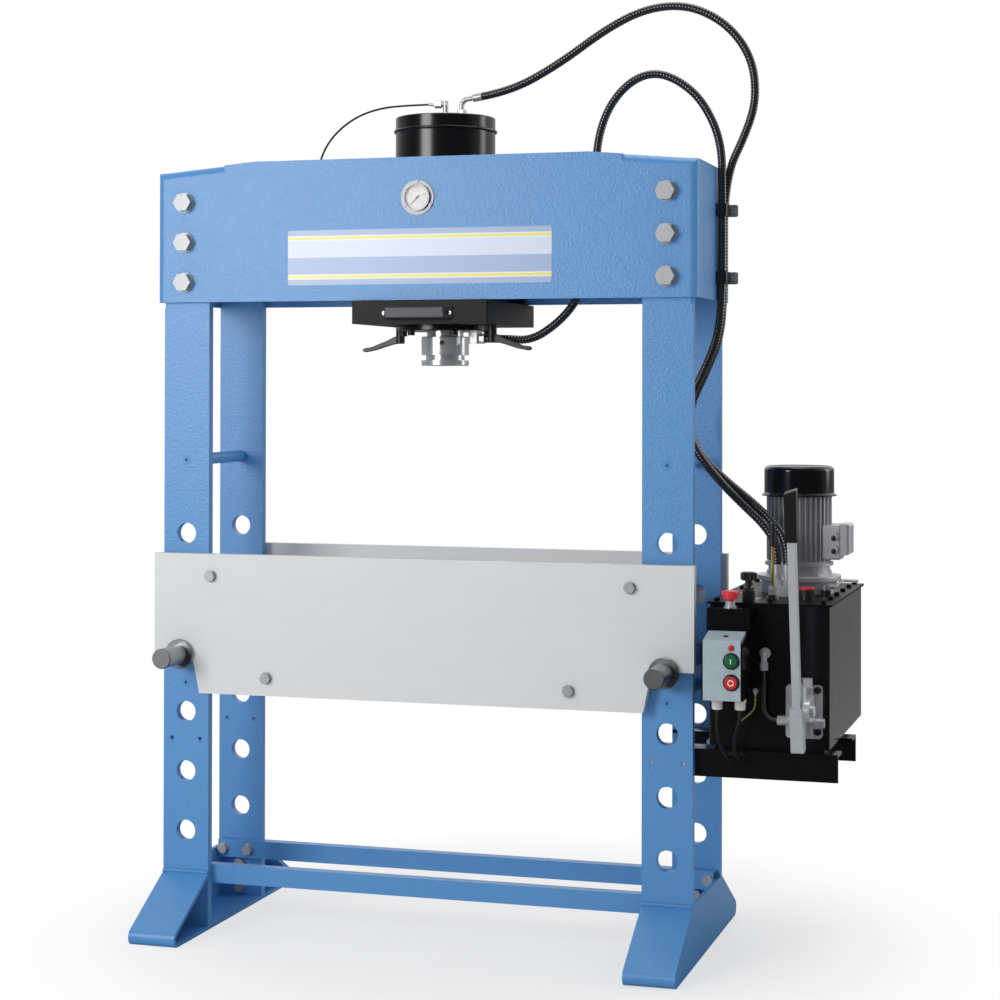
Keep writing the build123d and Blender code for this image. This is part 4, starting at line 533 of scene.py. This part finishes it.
RIGHT_CABLE = from_press((
    (0.808, -0.072, 0.624), (0.808, -0.072, 0.602), (0.798, -0.067, 0.573), (0.789, -0.050, 0.540),
    (0.790, -0.030, 0.512), (0.7935, -0.006, 0.500), (0.7935, 0.0205, 0.500),
))

EARTH_WIRE = from_press((
    (0.827, 0.0205, 0.648), (0.827, 0.0205, 0.634), (0.827, 0.015, 0.618), (0.819, 0.003, 0.606),
    (0.808, -0.015, 0.598), (0.803, -0.035, 0.594), (0.8024, -0.0636, 0.592),
))


def laid_cord(name, route, node, diameter, material, up, sides, guard=None):
    """A cord along its route's smooth curve. A guard is the pitch and the
    depth of a spiral wrap: the radius gains the depth times the root of the sine of half a turn over
    each pitch, less its usual 0.7, with the pitch's start winding once round the cord. The UV map
    holds the length in tenths of a metre and the share of a turn."""
    rings_per_turn = 6
    step = guard[0] / rings_per_turn if guard else diameter * 0.6
    line, reach = even_steps(smooth_route(name + "_line", route), step)
    turn = np.arange(sides) / sides
    radius = np.full((len(line), sides), diameter / 2)
    if guard:
        pitch, depth = guard
        phase = (reach[:, None] / pitch - turn) % 1.0
        radius += depth * (np.sqrt(np.abs(np.sin(math.pi * phase))) - 0.7)
    uv = np.stack((np.repeat(reach, sides) * 10, np.tile(turn, len(line))), axis=1)
    points = tube(line, radius, sides, up)
    piece = new_piece(name, points, grid_faces(len(line), sides, True), material, "frame", uv=uv)
    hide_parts(node)


# Settings

class PressSizes(bpy.types.PropertyGroup):
    """Sizes of the pieces that the script adds."""

    hose_diameter: bpy.props.FloatProperty(
        name="Hose diameter", description="Outside of the guarded oil hoses", default=0.020, unit="LENGTH")
    guard_pitch: bpy.props.FloatProperty(
        name="Guard pitch", description="Rise of the spiral guard in one turn", default=0.0078, unit="LENGTH")
    guard_depth: bpy.props.FloatProperty(
        name="Guard depth", description="Height of the spiral guard's turns", default=0.0013, unit="LENGTH")
    line_diameter: bpy.props.FloatProperty(
        name="Gauge line", description="Outside of the gauge's line", default=0.005, unit="LENGTH")
    cable_diameter: bpy.props.FloatProperty(
        name="Cable diameter", description="Outside of the control cables", default=0.009, unit="LENGTH")
    wire_diameter: bpy.props.FloatProperty(
        name="Earth wire", description="Outside of the earth wire", default=0.004, unit="LENGTH")


class PressColours(bpy.types.PropertyGroup):
    """Colours of the press, as linear light."""

    paint: bpy.props.FloatVectorProperty(
        name="Frame paint", description="Light blue of the frame", subtype="COLOR",
        default=(0.085, 0.295, 0.640))
    table: bpy.props.FloatVectorProperty(
        name="Table paint", description="Light grey of the table", subtype="COLOR",
        default=(0.71, 0.73, 0.74))
    black: bpy.props.FloatVectorProperty(
        name="Black enamel", description="Black of the tank and cylinder", subtype="COLOR",
        default=(0.0035, 0.0035, 0.0045))
    zinc: bpy.props.FloatVectorProperty(
        name="Zinc", description="Plating of the bolts", subtype="COLOR", default=(0.50, 0.51, 0.53))
    steel: bpy.props.FloatVectorProperty(
        name="Bright steel", description="Machined steel", subtype="COLOR", default=(0.62, 0.63, 0.65))
    silver: bpy.props.FloatVectorProperty(
        name="Motor silver", description="Silver of the motor", subtype="COLOR",
        default=(0.60, 0.61, 0.64))


class StageThePress(bpy.types.Operator):
    """Sets the camera at the photograph's place, and adds the pale floor, the world and the lamps"""

    bl_idname = "press.stage"
    bl_label = "Stage"

    # Where the photograph was taken from, counted from the press's own zero, and the way it looks
    viewpoint = (1.71358, -5.00174, 1.36269)
    view_turns = (90.42, -0.1, 16.68)

    # What reflections see, by the direction's share along an axis: from, to, and the level at each
    room_ramps = (("Y", -0.4, 0.6, 0.03, 0.36), ("Z", 0.04, 0.3, 1.0, 3.4))
    plain_level = 0.42

    # Each lamp's name, place, size and power
    lamps = (
        ("window_lamp", (-2.5, -4.7, 2.3), (2.0, 2.2), 125.0),
        ("side_lamp", (3.6, 1.6, 2.0), (1.0, 2.0), 22.0),
        ("ceiling_lamp", (0.2, 0.4, 5.2), (3.0, 2.4), 55.0),
    )
    lamp_aim = (0.0, 0.0, 1.1)

    def execute(self, context):
        scene = context.scene
        scene.view_settings.view_transform = "Standard"
        lens = bpy.data.cameras.new("photo_camera")
        lens.sensor_width = 36.0
        lens.lens = 77.70
        lens.shift_x = -0.00323
        lens.shift_y = -0.12646
        lens.clip_end = 100.0
        camera = bpy.data.objects.new("photo_camera", lens)
        camera.location = from_press(self.viewpoint)
        camera.rotation_euler = [math.radians(turn) for turn in self.view_turns]
        scene.collection.objects.link(camera)
        scene.camera = camera
        self.light_world(scene)
        self.lay_floor(scene)
        for lamp in self.lamps:
            self.hang_lamp(scene, *lamp)
        return {"FINISHED"}

    def light_world(self, scene):
        """White behind the press for the camera, a plain level for light, and for reflections a room
        that is dark in front and bright behind and above."""
        world = bpy.data.worlds.new("studio")
        world.use_nodes = True
        scene.world = world
        tree = world.node_tree
        background = tree.nodes["Background"]
        rays = tree.nodes.new("ShaderNodeLightPath")
        place = tree.nodes.new("ShaderNodeTexCoord")
        split = tree.nodes.new("ShaderNodeSeparateXYZ")
        tree.links.new(place.outputs["Generated"], split.inputs[0])
        room = tree.nodes.new("ShaderNodeMath")
        room.operation = "MULTIPLY"
        for slot, (axis, *levels) in enumerate(self.room_ramps):
            ramp = tree.nodes.new("ShaderNodeMapRange")
            tree.links.new(split.outputs[axis], ramp.inputs["Value"])
            for name, level in zip(("From Min", "From Max", "To Min", "To Max"), levels):
                ramp.inputs[name].default_value = level
            tree.links.new(ramp.outputs[0], room.inputs[slot])
        glossy = tree.nodes.new("ShaderNodeMix")
        tree.links.new(rays.outputs["Is Glossy Ray"], glossy.inputs[0])
        glossy.inputs[2].default_value = self.plain_level
        tree.links.new(room.outputs[0], glossy.inputs[3])
        seen = tree.nodes.new("ShaderNodeMath")
        seen.operation = "MAXIMUM"
        tree.links.new(rays.outputs["Is Camera Ray"], seen.inputs[0])
        tree.links.new(rays.outputs["Is Transmission Ray"], seen.inputs[1])
        strength = tree.nodes.new("ShaderNodeMix")
        tree.links.new(seen.outputs[0], strength.inputs[0])
        tree.links.new(glossy.outputs[0], strength.inputs[2])
        strength.inputs[3].default_value = 1.0
        background.inputs["Color"].default_value = (1.0, 1.0, 1.0, 1.0)
        tree.links.new(strength.outputs[0], background.inputs["Strength"])

    def lay_floor(self, scene):
        """Flat round floor that fades into the white background away from the press, and that looks
        dark in the press's own reflections, most of all in front."""
        recipe = Recipe("studio_floor", (0.86, 0.86, 0.86), 0.7)
        place = recipe.place()
        distance = recipe.node("ShaderNodeVectorMath", {"operation": "LENGTH"}, {0: place}, "Value")
        away = recipe.node("ShaderNodeMapRange", {"interpolation_type": "SMOOTHSTEP"},
                           {"Value": distance, "From Min": 0.55, "From Max": 1.35, "To Min": 0.6})
        rays = recipe.node("ShaderNodeLightPath", {}, {}, "Is Camera Ray")
        glow = recipe.node("ShaderNodeEmission", {}, {"Color": (1.0, 1.0, 1.0, 1.0), "Strength": 1.0})
        lit = Signal(recipe, recipe.shader.outputs[0])
        pale = recipe.node("ShaderNodeMixShader", {}, {0: away * rays, 1: lit, 2: glow})
        mirrored = recipe.node("ShaderNodeLightPath", {}, {}, "Is Glossy Ray")
        behind = ((recipe.along("Y", place) + 0.3) * 1.2).clamped()
        dark = recipe.node("ShaderNodeEmission", {}, {"Color": (0.0, 0.0, 0.0, 1.0), "Strength": 0.0})
        hidden = mirrored * (0.92 - 0.42 * behind)
        seen = recipe.node("ShaderNodeMixShader", {}, {0: hidden, 1: pale, 2: dark})
        recipe.join(recipe.tree.nodes["Material Output"].inputs["Surface"], seen)
        reach, drop, corners = 30.0, 0.0003, 96
        turn = np.linspace(0.0, 2 * math.pi, corners, endpoint=False)
        rim = np.stack((np.cos(turn) * reach, np.sin(turn) * reach, np.full(corners, -drop)), axis=1)
        mesh = bpy.data.meshes.new("studio_floor")
        mesh.from_pydata(rim.tolist(), [], [tuple(range(corners))])
        mesh.materials.append(recipe.material)
        floor = bpy.data.objects.new("studio_floor", mesh)
        scene.collection.objects.link(floor)

    def hang_lamp(self, scene, name, place, size, power):
        """One large soft lamp that points at the middle of the press."""
        lamp = bpy.data.lights.new(name, "AREA")
        lamp.shape = "RECTANGLE"
        lamp.size, lamp.size_y = size
        lamp.energy = power
        holder = bpy.data.objects.new(name, lamp)
        holder.location = place
        aim = np.array(self.lamp_aim) - np.array(place)
        flat = math.hypot(aim[0], aim[1])
        holder.rotation_euler = (math.pi / 2 + math.atan2(aim[2], flat), 0.0, math.atan2(-aim[0], aim[1]))
        scene.collection.objects.link(holder)


class LayTheHoses(bpy.types.Operator):
    """Lays the two guarded oil hoses from the cylinder over the beam's end to the tank"""

    bl_idname = "press.hoses"
    bl_label = "Oil hoses"

    def execute(self, context):
        sizes = context.scene.press_sizes
        rubber = spiral_guard("hose_guard", (0.014, 0.014, 0.016))
        guard = (sizes.guard_pitch, sizes.guard_depth)
        for name, route, node in (("oil_hose_top", HOSE_A, "hose_a"), ("oil_hose_port", HOSE_B, "hose_b")):
            laid_cord(name, route, node, sizes.hose_diameter, rubber, (0.0, 1.0, 0.0),
                      18, guard)
        return {"FINISHED"}


class LayTheCables(bpy.types.Operator):
    """Lays the gauge's line, the two control cables and the earth wire"""

    bl_idname = "press.cables"
    bl_label = "Line and cables"

    def execute(self, context):
        sizes = context.scene.press_sizes
        sheath = moulded_plastic("cable_sheath", (0.012, 0.012, 0.013), 0.42, 600.0)
        wire = striped_wire("earth_sheath", (0.03, 0.30, 0.07), (0.62, 0.66, 0.05))
        laid_cord("gauge_capillary", GAUGE_LINE, "gauge_line", sizes.line_diameter, sheath,
                  (0.0, 1.0, 0.0), 14)
        laid_cord("control_cable_left", LEFT_CABLE, "cable_left", sizes.cable_diameter, sheath,
                  (1.0, 0.0, 0.0), 18)
        laid_cord("control_cable_right", RIGHT_CABLE, "cable_right", sizes.cable_diameter, sheath,
                  (1.0, 0.0, 0.0), 18)
        laid_cord("earth_lead", EARTH_WIRE, "earth_wire", sizes.wire_diameter, wire,
                  (0.7, -0.7, 0.0), 12)
        return {"FINISHED"}


class PaintTheFrame(bpy.types.Operator):
    """Paints the uprights, beam, feet, crossbars and table"""

    bl_idname = "press.paint_frame"
    bl_label = "Frame paint"

    def execute(self, context):
        colours = context.scene.press_colours
        dress(press_paint("frame_enamel", colours.paint), "beam_front_shell", "beam_rear_shell",
              "uprights_front", "uprights_rear", "foot_left", "foot_right", "frame_bars")
        dress(table_paint("table_enamel", colours.table), "table_front_plate", "table_rear_plate")
        return {"FINISHED"}


class FinishTheSteel(bpy.types.Operator):
    """Gives bolts, pins, ram, rollers and fittings their metal"""

    bl_idname = "press.steel"
    bl_label = "Steel and zinc"

    def execute(self, context):
        colours = context.scene.press_colours
        zinc = (colours.zinc[:], 0.48, 0.6)
        bright = ((0.66, 0.67, 0.70), 0.3, 0.45)
        paint = (shade(colours.paint, 0.95), 0.38, 0.0)
        dark_steel = ((0.16, 0.16, 0.17), 0.3, 0.9)
        dress(zinc_plate("bolt_zinc", colours.zinc), "table_bolts", "hose_clamps")
        dress(zinc_plate("fitting_zinc", bright[0], 0.3, 0.5), "cylinder_fittings", "tank_fittings")
        dress(two_tone("frame_bolt_zinc", self.spacer_screws, zinc, paint), "frame_bolts")
        dress(two_tone("oil_pipe", self.bent_pipe, bright, dark_steel), "pressure_tube")
        dress(turned_steel("pin_steel", shade(colours.steel, 0.62), "Y", 0.34), "pin_left", "pin_right",
              "wheelset_left", "wheelset_right")
        dress(turned_steel("ram_steel", shade(colours.steel, 1.2), "Z", 0.22, 0.7), "piston_rod")
        dress(zinc_plate("lever_wire", shade(colours.zinc, 0.9), 0.22), "release_lever", "hand_pump_piston")
        dress(turned_steel("rotor_steel", colours.steel, "Z"), "motor_rotor")
        dress(zinc_plate("gauge_steel", shade(colours.zinc, 0.62), 0.42, 0.9), "gauge_case")
        brass = ((0.60, 0.45, 0.20), 0.3, 0.9)
        grip = ((0.015, 0.015, 0.016), 0.4, 0.0)
        dress(two_tone("rod_valve_brass", above(GRIP_FOOT), brass, grip), "rod_valve_lever")
        return {"FINISHED"}

    def spacer_screws(self, recipe):
        """Test for the spacer rods' countersunk screws, which are painted over."""
        height = recipe.along("Z")
        lower, upper = (abs(height - level) < 0.02 for level in SPACER_HEIGHTS)
        return lower.most(upper)

    def bent_pipe(self, recipe):
        """Test for the dark pipe between its two nuts."""
        corner = from_press(PIPE_CORNER)
        return (recipe.along("X") < corner[0]) * (recipe.along("Z") < corner[2])


class FinishTheBlackParts(bpy.types.Operator):
    """Gives the carriage, cylinder, tank, arms and boxes their black enamel"""

    bl_idname = "press.black"
    bl_label = "Black parts"

    def execute(self, context):
        colours = context.scene.press_colours
        dress(gloss_enamel("cylinder_enamel", colours.black, 0.2), "cylinder")
        dress(gloss_enamel("tank_enamel", colours.black, 0.16), "tank_shell", "bracket_arms")
        dress(gloss_enamel("lid_enamel", colours.black, 0.4, shine=0.08), "tank_lid")
        dress(gloss_enamel("carriage_enamel", shade(colours.black, 1.2), 0.5, shine=0.3), "carriage_box")
        handle_screws = before(HANDLE_FOOT - FRAME_ZERO[1])
        screw_black = ((0.02, 0.02, 0.02), 0.35, 0.3)
        screw_zinc = (colours.zinc[:], 0.3, 0.85)
        dress(two_tone("screw_black", handle_screws, screw_black, screw_zinc), "carriage_screws")
        dress(gloss_enamel("handle_enamel", (0.035, 0.037, 0.043), 0.4), "carriage_handle")
        dress(gloss_enamel("box_enamel", colours.black, 0.15), "control_boxes")
        dress(gloss_enamel("fan_cover_enamel", colours.black, 0.13), "fan_cover")
        dress(moulded_plastic("lever_black", (0.014, 0.014, 0.015), 0.34),
              "clamp_lever_left", "clamp_lever_right")
        return {"FINISHED"}


class FinishThePowerUnit(bpy.types.Operator):
    """Gives the motor, hand pump, lever, knobs and switches their finishes"""

    bl_idname = "press.power_unit"
    bl_label = "Power unit"

    def execute(self, context):
        colours = context.scene.press_colours
        dress(cast_metal("motor_casting", colours.silver, 0.38), "motor_frame")
        dress(cast_metal("pump_casting", shade(colours.silver, 1.15), 0.34), "hand_pump_body", "gear_pump")
        dress(zinc_plate("lever_silver", (0.60, 0.62, 0.66), 0.4, 0.3), "hand_pump_lever")
        dress(moulded_plastic("grip_plastic", (0.010, 0.010, 0.011), 0.42, 420.0, 0.0003), "lever_grip")
        dress(moulded_plastic("knob_plastic", (0.015, 0.015, 0.016), 0.3),
              "valve_bodies", "star_knob", "clamp_bands")
        neck_black = ((0.014, 0.014, 0.015), 0.36, 0.0)
        cap_red = ((0.55, 0.02, 0.035), 0.32, 0.0)
        dress(two_tone("filler_plastic", above(CAP_RIM), neck_black, cap_red), "filler_cap")
        cover_grey = ((0.40, 0.49, 0.535), 0.36, 0.0)
        screw_steel = ((0.10, 0.10, 0.11), 0.3, 0.8)
        cover_screw = near(from_press(COVER_SCREW), 0.0072)
        dress(two_tone("switch_housing", cover_screw, cover_grey, screw_steel), "switch_cover")
        dress(moulded_plastic("gland_plastic", (0.66, 0.65, 0.62), 0.4), "cable_glands")
        dress(moulded_plastic("start_green", (0.005, 0.13, 0.05), 0.3), "start_button")
        dress(moulded_plastic("stop_red", (0.62, 0.02, 0.02), 0.3), "stop_button")
        dress(moulded_plastic("emergency_red", (0.72, 0.03, 0.05), 0.32), "estop_button")
        dress(moulded_plastic("lamp_red", (0.55, 0.015, 0.05), 0.15), "pilot_lamp")
        return {"FINISHED"}


class PrintThePanel(bpy.types.Operator):
    """Puts the bare two-tone panel on the beam's front"""

    bl_idname = "press.panel"
    bl_label = "Beam panel"

    def execute(self, context):
        finish = banded_panel("panel_print", (0.66, 0.74, 0.88), (0.36, 0.47, 0.69), (0.86, 0.77, 0.12))
        half_width, half_height = 0.340, 0.068
        outline = rounded_outline((-half_width, half_width),
                                  (PANEL_MIDDLE - half_height, PANEL_MIDDLE + half_height), 0.006)
        points, faces = slab(outline, BEAM_FRONT - 0.0005, BEAM_FRONT + 0.0002)
        new_piece("beam_panel", from_press(points), faces, finish, "frame", smooth=False)
        return {"FINISHED"}


class MarkTheDial(bpy.types.Operator):
    """Draws the gauge's scale and numbers, and finishes its glass and pointer"""

    bl_idname = "press.dial"
    bl_label = "Gauge dial"

    # The scale starts at the lower left and runs clockwise; radii in metres
    start = 225.0
    sweep = 270.0
    divisions = 40
    mark_end = 0.0280
    ring_radii = (0.0284, 0.0279)
    number_radius = 0.0178
    number_size = 0.0058
    ink_depth = 0.0002

    def execute(self, context):
        ink = moulded_plastic("dial_ink", (0.02, 0.02, 0.022), 0.4)
        dress(moulded_plastic("dial_face", (0.86, 0.86, 0.84), 0.45, 900.0, 0.0001), "gauge_dial")
        dress(ink, "gauge_pointer")
        dress(clear_glass("dial_glass", (1.0, 1.0, 1.0)), "gauge_glass")
        marks = []
        for step in range(self.divisions + 1):
            if step % 10 == 0:
                inner, half = 0.0225, 0.00045
            else:
                inner, half = (0.0240 if step % 5 == 0 else 0.0255), 0.00022
            marks.append(self.mark(step / self.divisions, inner, half))
        arc = self.turn(np.linspace(0.0, 1.0, 64))
        outer, inner = self.ring_radii
        ring = np.concatenate((np.stack((np.cos(arc), np.sin(arc)), 1) * outer,
                               np.stack((np.cos(arc[::-1]), np.sin(arc[::-1])), 1) * inner))
        marks.append(self.inked(ring))
        points, faces = joined(marks)
        new_piece("dial_scale", from_press(points), faces, ink, "frame", smooth=False)
        for k in range(5):
            turn = self.turn(k / 4)
            place = np.array((math.cos(turn), math.sin(turn))) * self.number_radius + DIAL_CENTRE
            self.number(str(k * 100), place, ink)
        return {"FINISHED"}

    def turn(self, share):
        """Angle at a share of the scale."""
        return np.radians(self.start - self.sweep * share)

    def inked(self, outline):
        """An outline about the dial's centre as a thin print on its face."""
        return slab(outline + DIAL_CENTRE, DIAL_FACE - self.ink_depth, DIAL_FACE)

    def mark(self, share, inner, half):
        """One scale mark: a thin bar along a radius."""
        turn = self.turn(share)
        outer = self.mark_end
        ray = np.array((math.cos(turn), math.sin(turn)))
        side = np.array((-ray[1], ray[0])) * half
        outline = np.stack((ray * inner - side, ray * inner + side, ray * outer + side, ray * outer - side))
        return self.inked(outline)

    def number(self, words, place, ink):
        """A dial number, made a mesh and set upright on the dial."""
        text = bpy.data.curves.new("number", "FONT")
        text.body = words
        text.size = self.number_size
        text.extrude = 0.00008
        text.align_x = "CENTER"
        text.align_y = "CENTER"
        holder = bpy.data.objects.new("number", text)
        mesh = bpy.data.meshes.new_from_object(holder)
        flat = np.empty(len(mesh.vertices) * 3)
        mesh.vertices.foreach_get("co", flat)
        flat = flat.reshape(-1, 3)
        middle = DIAL_FACE - self.ink_depth / 2
        placed = np.stack((flat[:, 0] + place[0], middle - flat[:, 2], flat[:, 1] + place[1]), axis=1)
        faces = [tuple(face.vertices) for face in mesh.polygons]
        new_piece("dial_number_" + words, from_press(placed), faces, ink, "frame", smooth=False)
        bpy.data.objects.remove(holder)
        bpy.data.curves.remove(text)
        bpy.data.meshes.remove(mesh)


class DressTheSwitches(bpy.types.Operator):
    """Adds the switch signs, the buttons' dark collars and the dark plugs of the motor's feed box"""

    bl_idname = "press.switches"
    bl_label = "Switches"

    def execute(self, context):
        white = moulded_plastic("sign_white", (0.85, 0.85, 0.84), 0.4)
        dark = moulded_plastic("collar_black", (0.012, 0.012, 0.012), 0.35)
        half_width, half_height = 0.0011, 0.0055
        outline = rounded_outline((BUTTON_COLUMN - half_width, BUTTON_COLUMN + half_width),
                                  (START_HEIGHT - half_height, START_HEIGHT + half_height), 0.0004)
        points, faces = slab(outline, BUTTON_FACE - 0.0002, BUTTON_FACE + 0.0001)
        new_piece("start_sign", from_press(points), faces, white, "start", smooth=False)
        ring = ((0.0052, -0.0002), (0.0052, 0.0001), (0.0072, 0.0001), (0.0072, -0.0002))
        centre = from_press((BUTTON_COLUMN, BUTTON_FACE, STOP_HEIGHT))
        turned_piece("stop_sign", ring, centre, white, "stop", smooth=False)
        collar = ((0.0154, -0.0055), (0.0164, -0.0058), (0.0186, -0.0044), (0.0192, -0.0002),
                  (0.0154, -0.0002))
        for name, height in (("start_collar", START_HEIGHT), ("stop_collar", STOP_HEIGHT)):
            turned_piece(name, collar, from_press((BUTTON_COLUMN, SWITCH_FRONT, height)), dark, "frame")
        plug = ((0.0001, -0.0012), (0.0050, -0.0012), (0.0064, -0.0004), (0.0064, 0.0002), (0.0001, 0.0002))
        for name, height in zip(("lower_feed_plug", "upper_feed_plug"), FEED_HEIGHTS):
            turned_piece(name, plug, from_press((*FEED_BOX, height)), dark, "frame")
        return {"FINISHED"}


class WeldTheSeams(bpy.types.Operator):
    """Lays the rippled weld beads on the cylinder's head and along the feet"""

    bl_idname = "press.welds"
    bl_label = "Weld beads"

    def execute(self, context):
        colours = context.scene.press_colours
        black = gloss_enamel("weld_enamel", colours.black, 0.18)
        blue = press_paint("weld_paint", shade(colours.paint, 0.95))
        turn = np.linspace(0.0, 2 * math.pi, 361)
        seam = 0.1262
        path = np.stack((CYLINDER_CENTRE[0] + seam * np.cos(turn), CYLINDER_CENTRE[1] + seam * np.sin(turn),
                         HEAD_SEAM + 0.0006 * np.sin(turn * 9)), axis=1)
        self.bead("head_weld", path, 0.0038 + 0.0006 * np.abs(np.sin(turn * 60)), black, "carriage")
        for side, name in ((-1, "foot_weld_left"), (1, "foot_weld_right")):
            across = np.linspace(0.560, 0.681, 180) * side
            path = np.insert(across[:, None], (1, 1), FOOT_SEAM, axis=1)
            self.bead(name, path, 0.0042 + 0.0007 * np.abs(np.sin(across * 420)), blue, "frame")
        return {"FINISHED"}

    def bead(self, name, path, radius, finish, body):
        """A weld bead along a path, its radius rippled by the size of a sine along it."""
        sides = 12
        points = tube(from_press(path), radius[:, None], sides, (0.0, 0.0, 1.0))
        new_piece(name, points, grid_faces(len(path), sides, True), finish, body)


class PlaceThePlates(bpy.types.Operator):
    """Puts the two bare plates on the tank's lid, each with its two rivets"""

    bl_idname = "press.plates"
    bl_label = "Bare plates"

    def execute(self, context):
        finish = zinc_plate("plate_foil", (0.20, 0.205, 0.21), 0.5, 0.2)
        half_width = 0.020
        rivet = ((0.0014, 0.0004), (0.0013, 0.0010), (0.0006, 0.0013))
        rivet_inset = 0.004
        sides = 16
        plates = (("lid_plate_front", 0.802, 0.107, 0.040), ("lid_plate_rear", 0.768, 0.262, 0.036))
        for name, x, y, half in plates:
            outline = rounded_outline((x - half_width, x + half_width), (y - half, y + half), 0.003)
            shapes = [slab(outline, LID, LID + 0.0006, "Z")]
            for side in (-1, 1):
                points = lathe(rivet, (x, y + side * (half - rivet_inset), LID), "Z", sides)
                shapes.append((points, grid_faces(len(rivet), sides, True)))
            points, faces = joined(shapes)
            new_piece(name, from_press(points), faces, finish, "frame", smooth=False)
        return {"FINISHED"}


class PressPanel(bpy.types.Panel):
    """Lists the pieces of the press in the sidebar"""

    bl_idname = "VIEW3D_PT_workshop_press"
    bl_label = "Workshop press"
    bl_space_type = "VIEW_3D"
    bl_region_type = "UI"
    bl_category = "Press"

    def draw(self, context):
        layout = self.layout
        for group in (context.scene.press_sizes, context.scene.press_colours):
            column = layout.column(align=True)
            for name in group.bl_rna.properties.keys():
                if name not in ("rna_type", "name"):
                    column.prop(group, name)
        for step in steps:
            layout.operator(step.bl_idname)


steps = (
    StageThePress, LayTheHoses, LayTheCables, PaintTheFrame, FinishTheSteel, FinishTheBlackParts,
    FinishThePowerUnit, PrintThePanel, MarkTheDial, DressTheSwitches, WeldTheSeams, PlaceThePlates,
)
groups = (PressSizes, PressColours)


def register():
    for kind in (*groups, *steps, PressPanel):
        bpy.utils.register_class(kind)
    bpy.types.Scene.press_sizes = bpy.props.PointerProperty(type=PressSizes)
    bpy.types.Scene.press_colours = bpy.props.PointerProperty(type=PressColours)


def unregister():
    del bpy.types.Scene.press_colours
    del bpy.types.Scene.press_sizes
    for kind in (PressPanel, *reversed(steps), *reversed(groups)):
        bpy.utils.unregister_class(kind)


def main():
    register()
    for step in steps:
        area, name = step.bl_idname.split(".")
        getattr(getattr(bpy.ops, area), name)()
    bpy.context.view_layer.update()


if __name__ == "__main__":
    main()
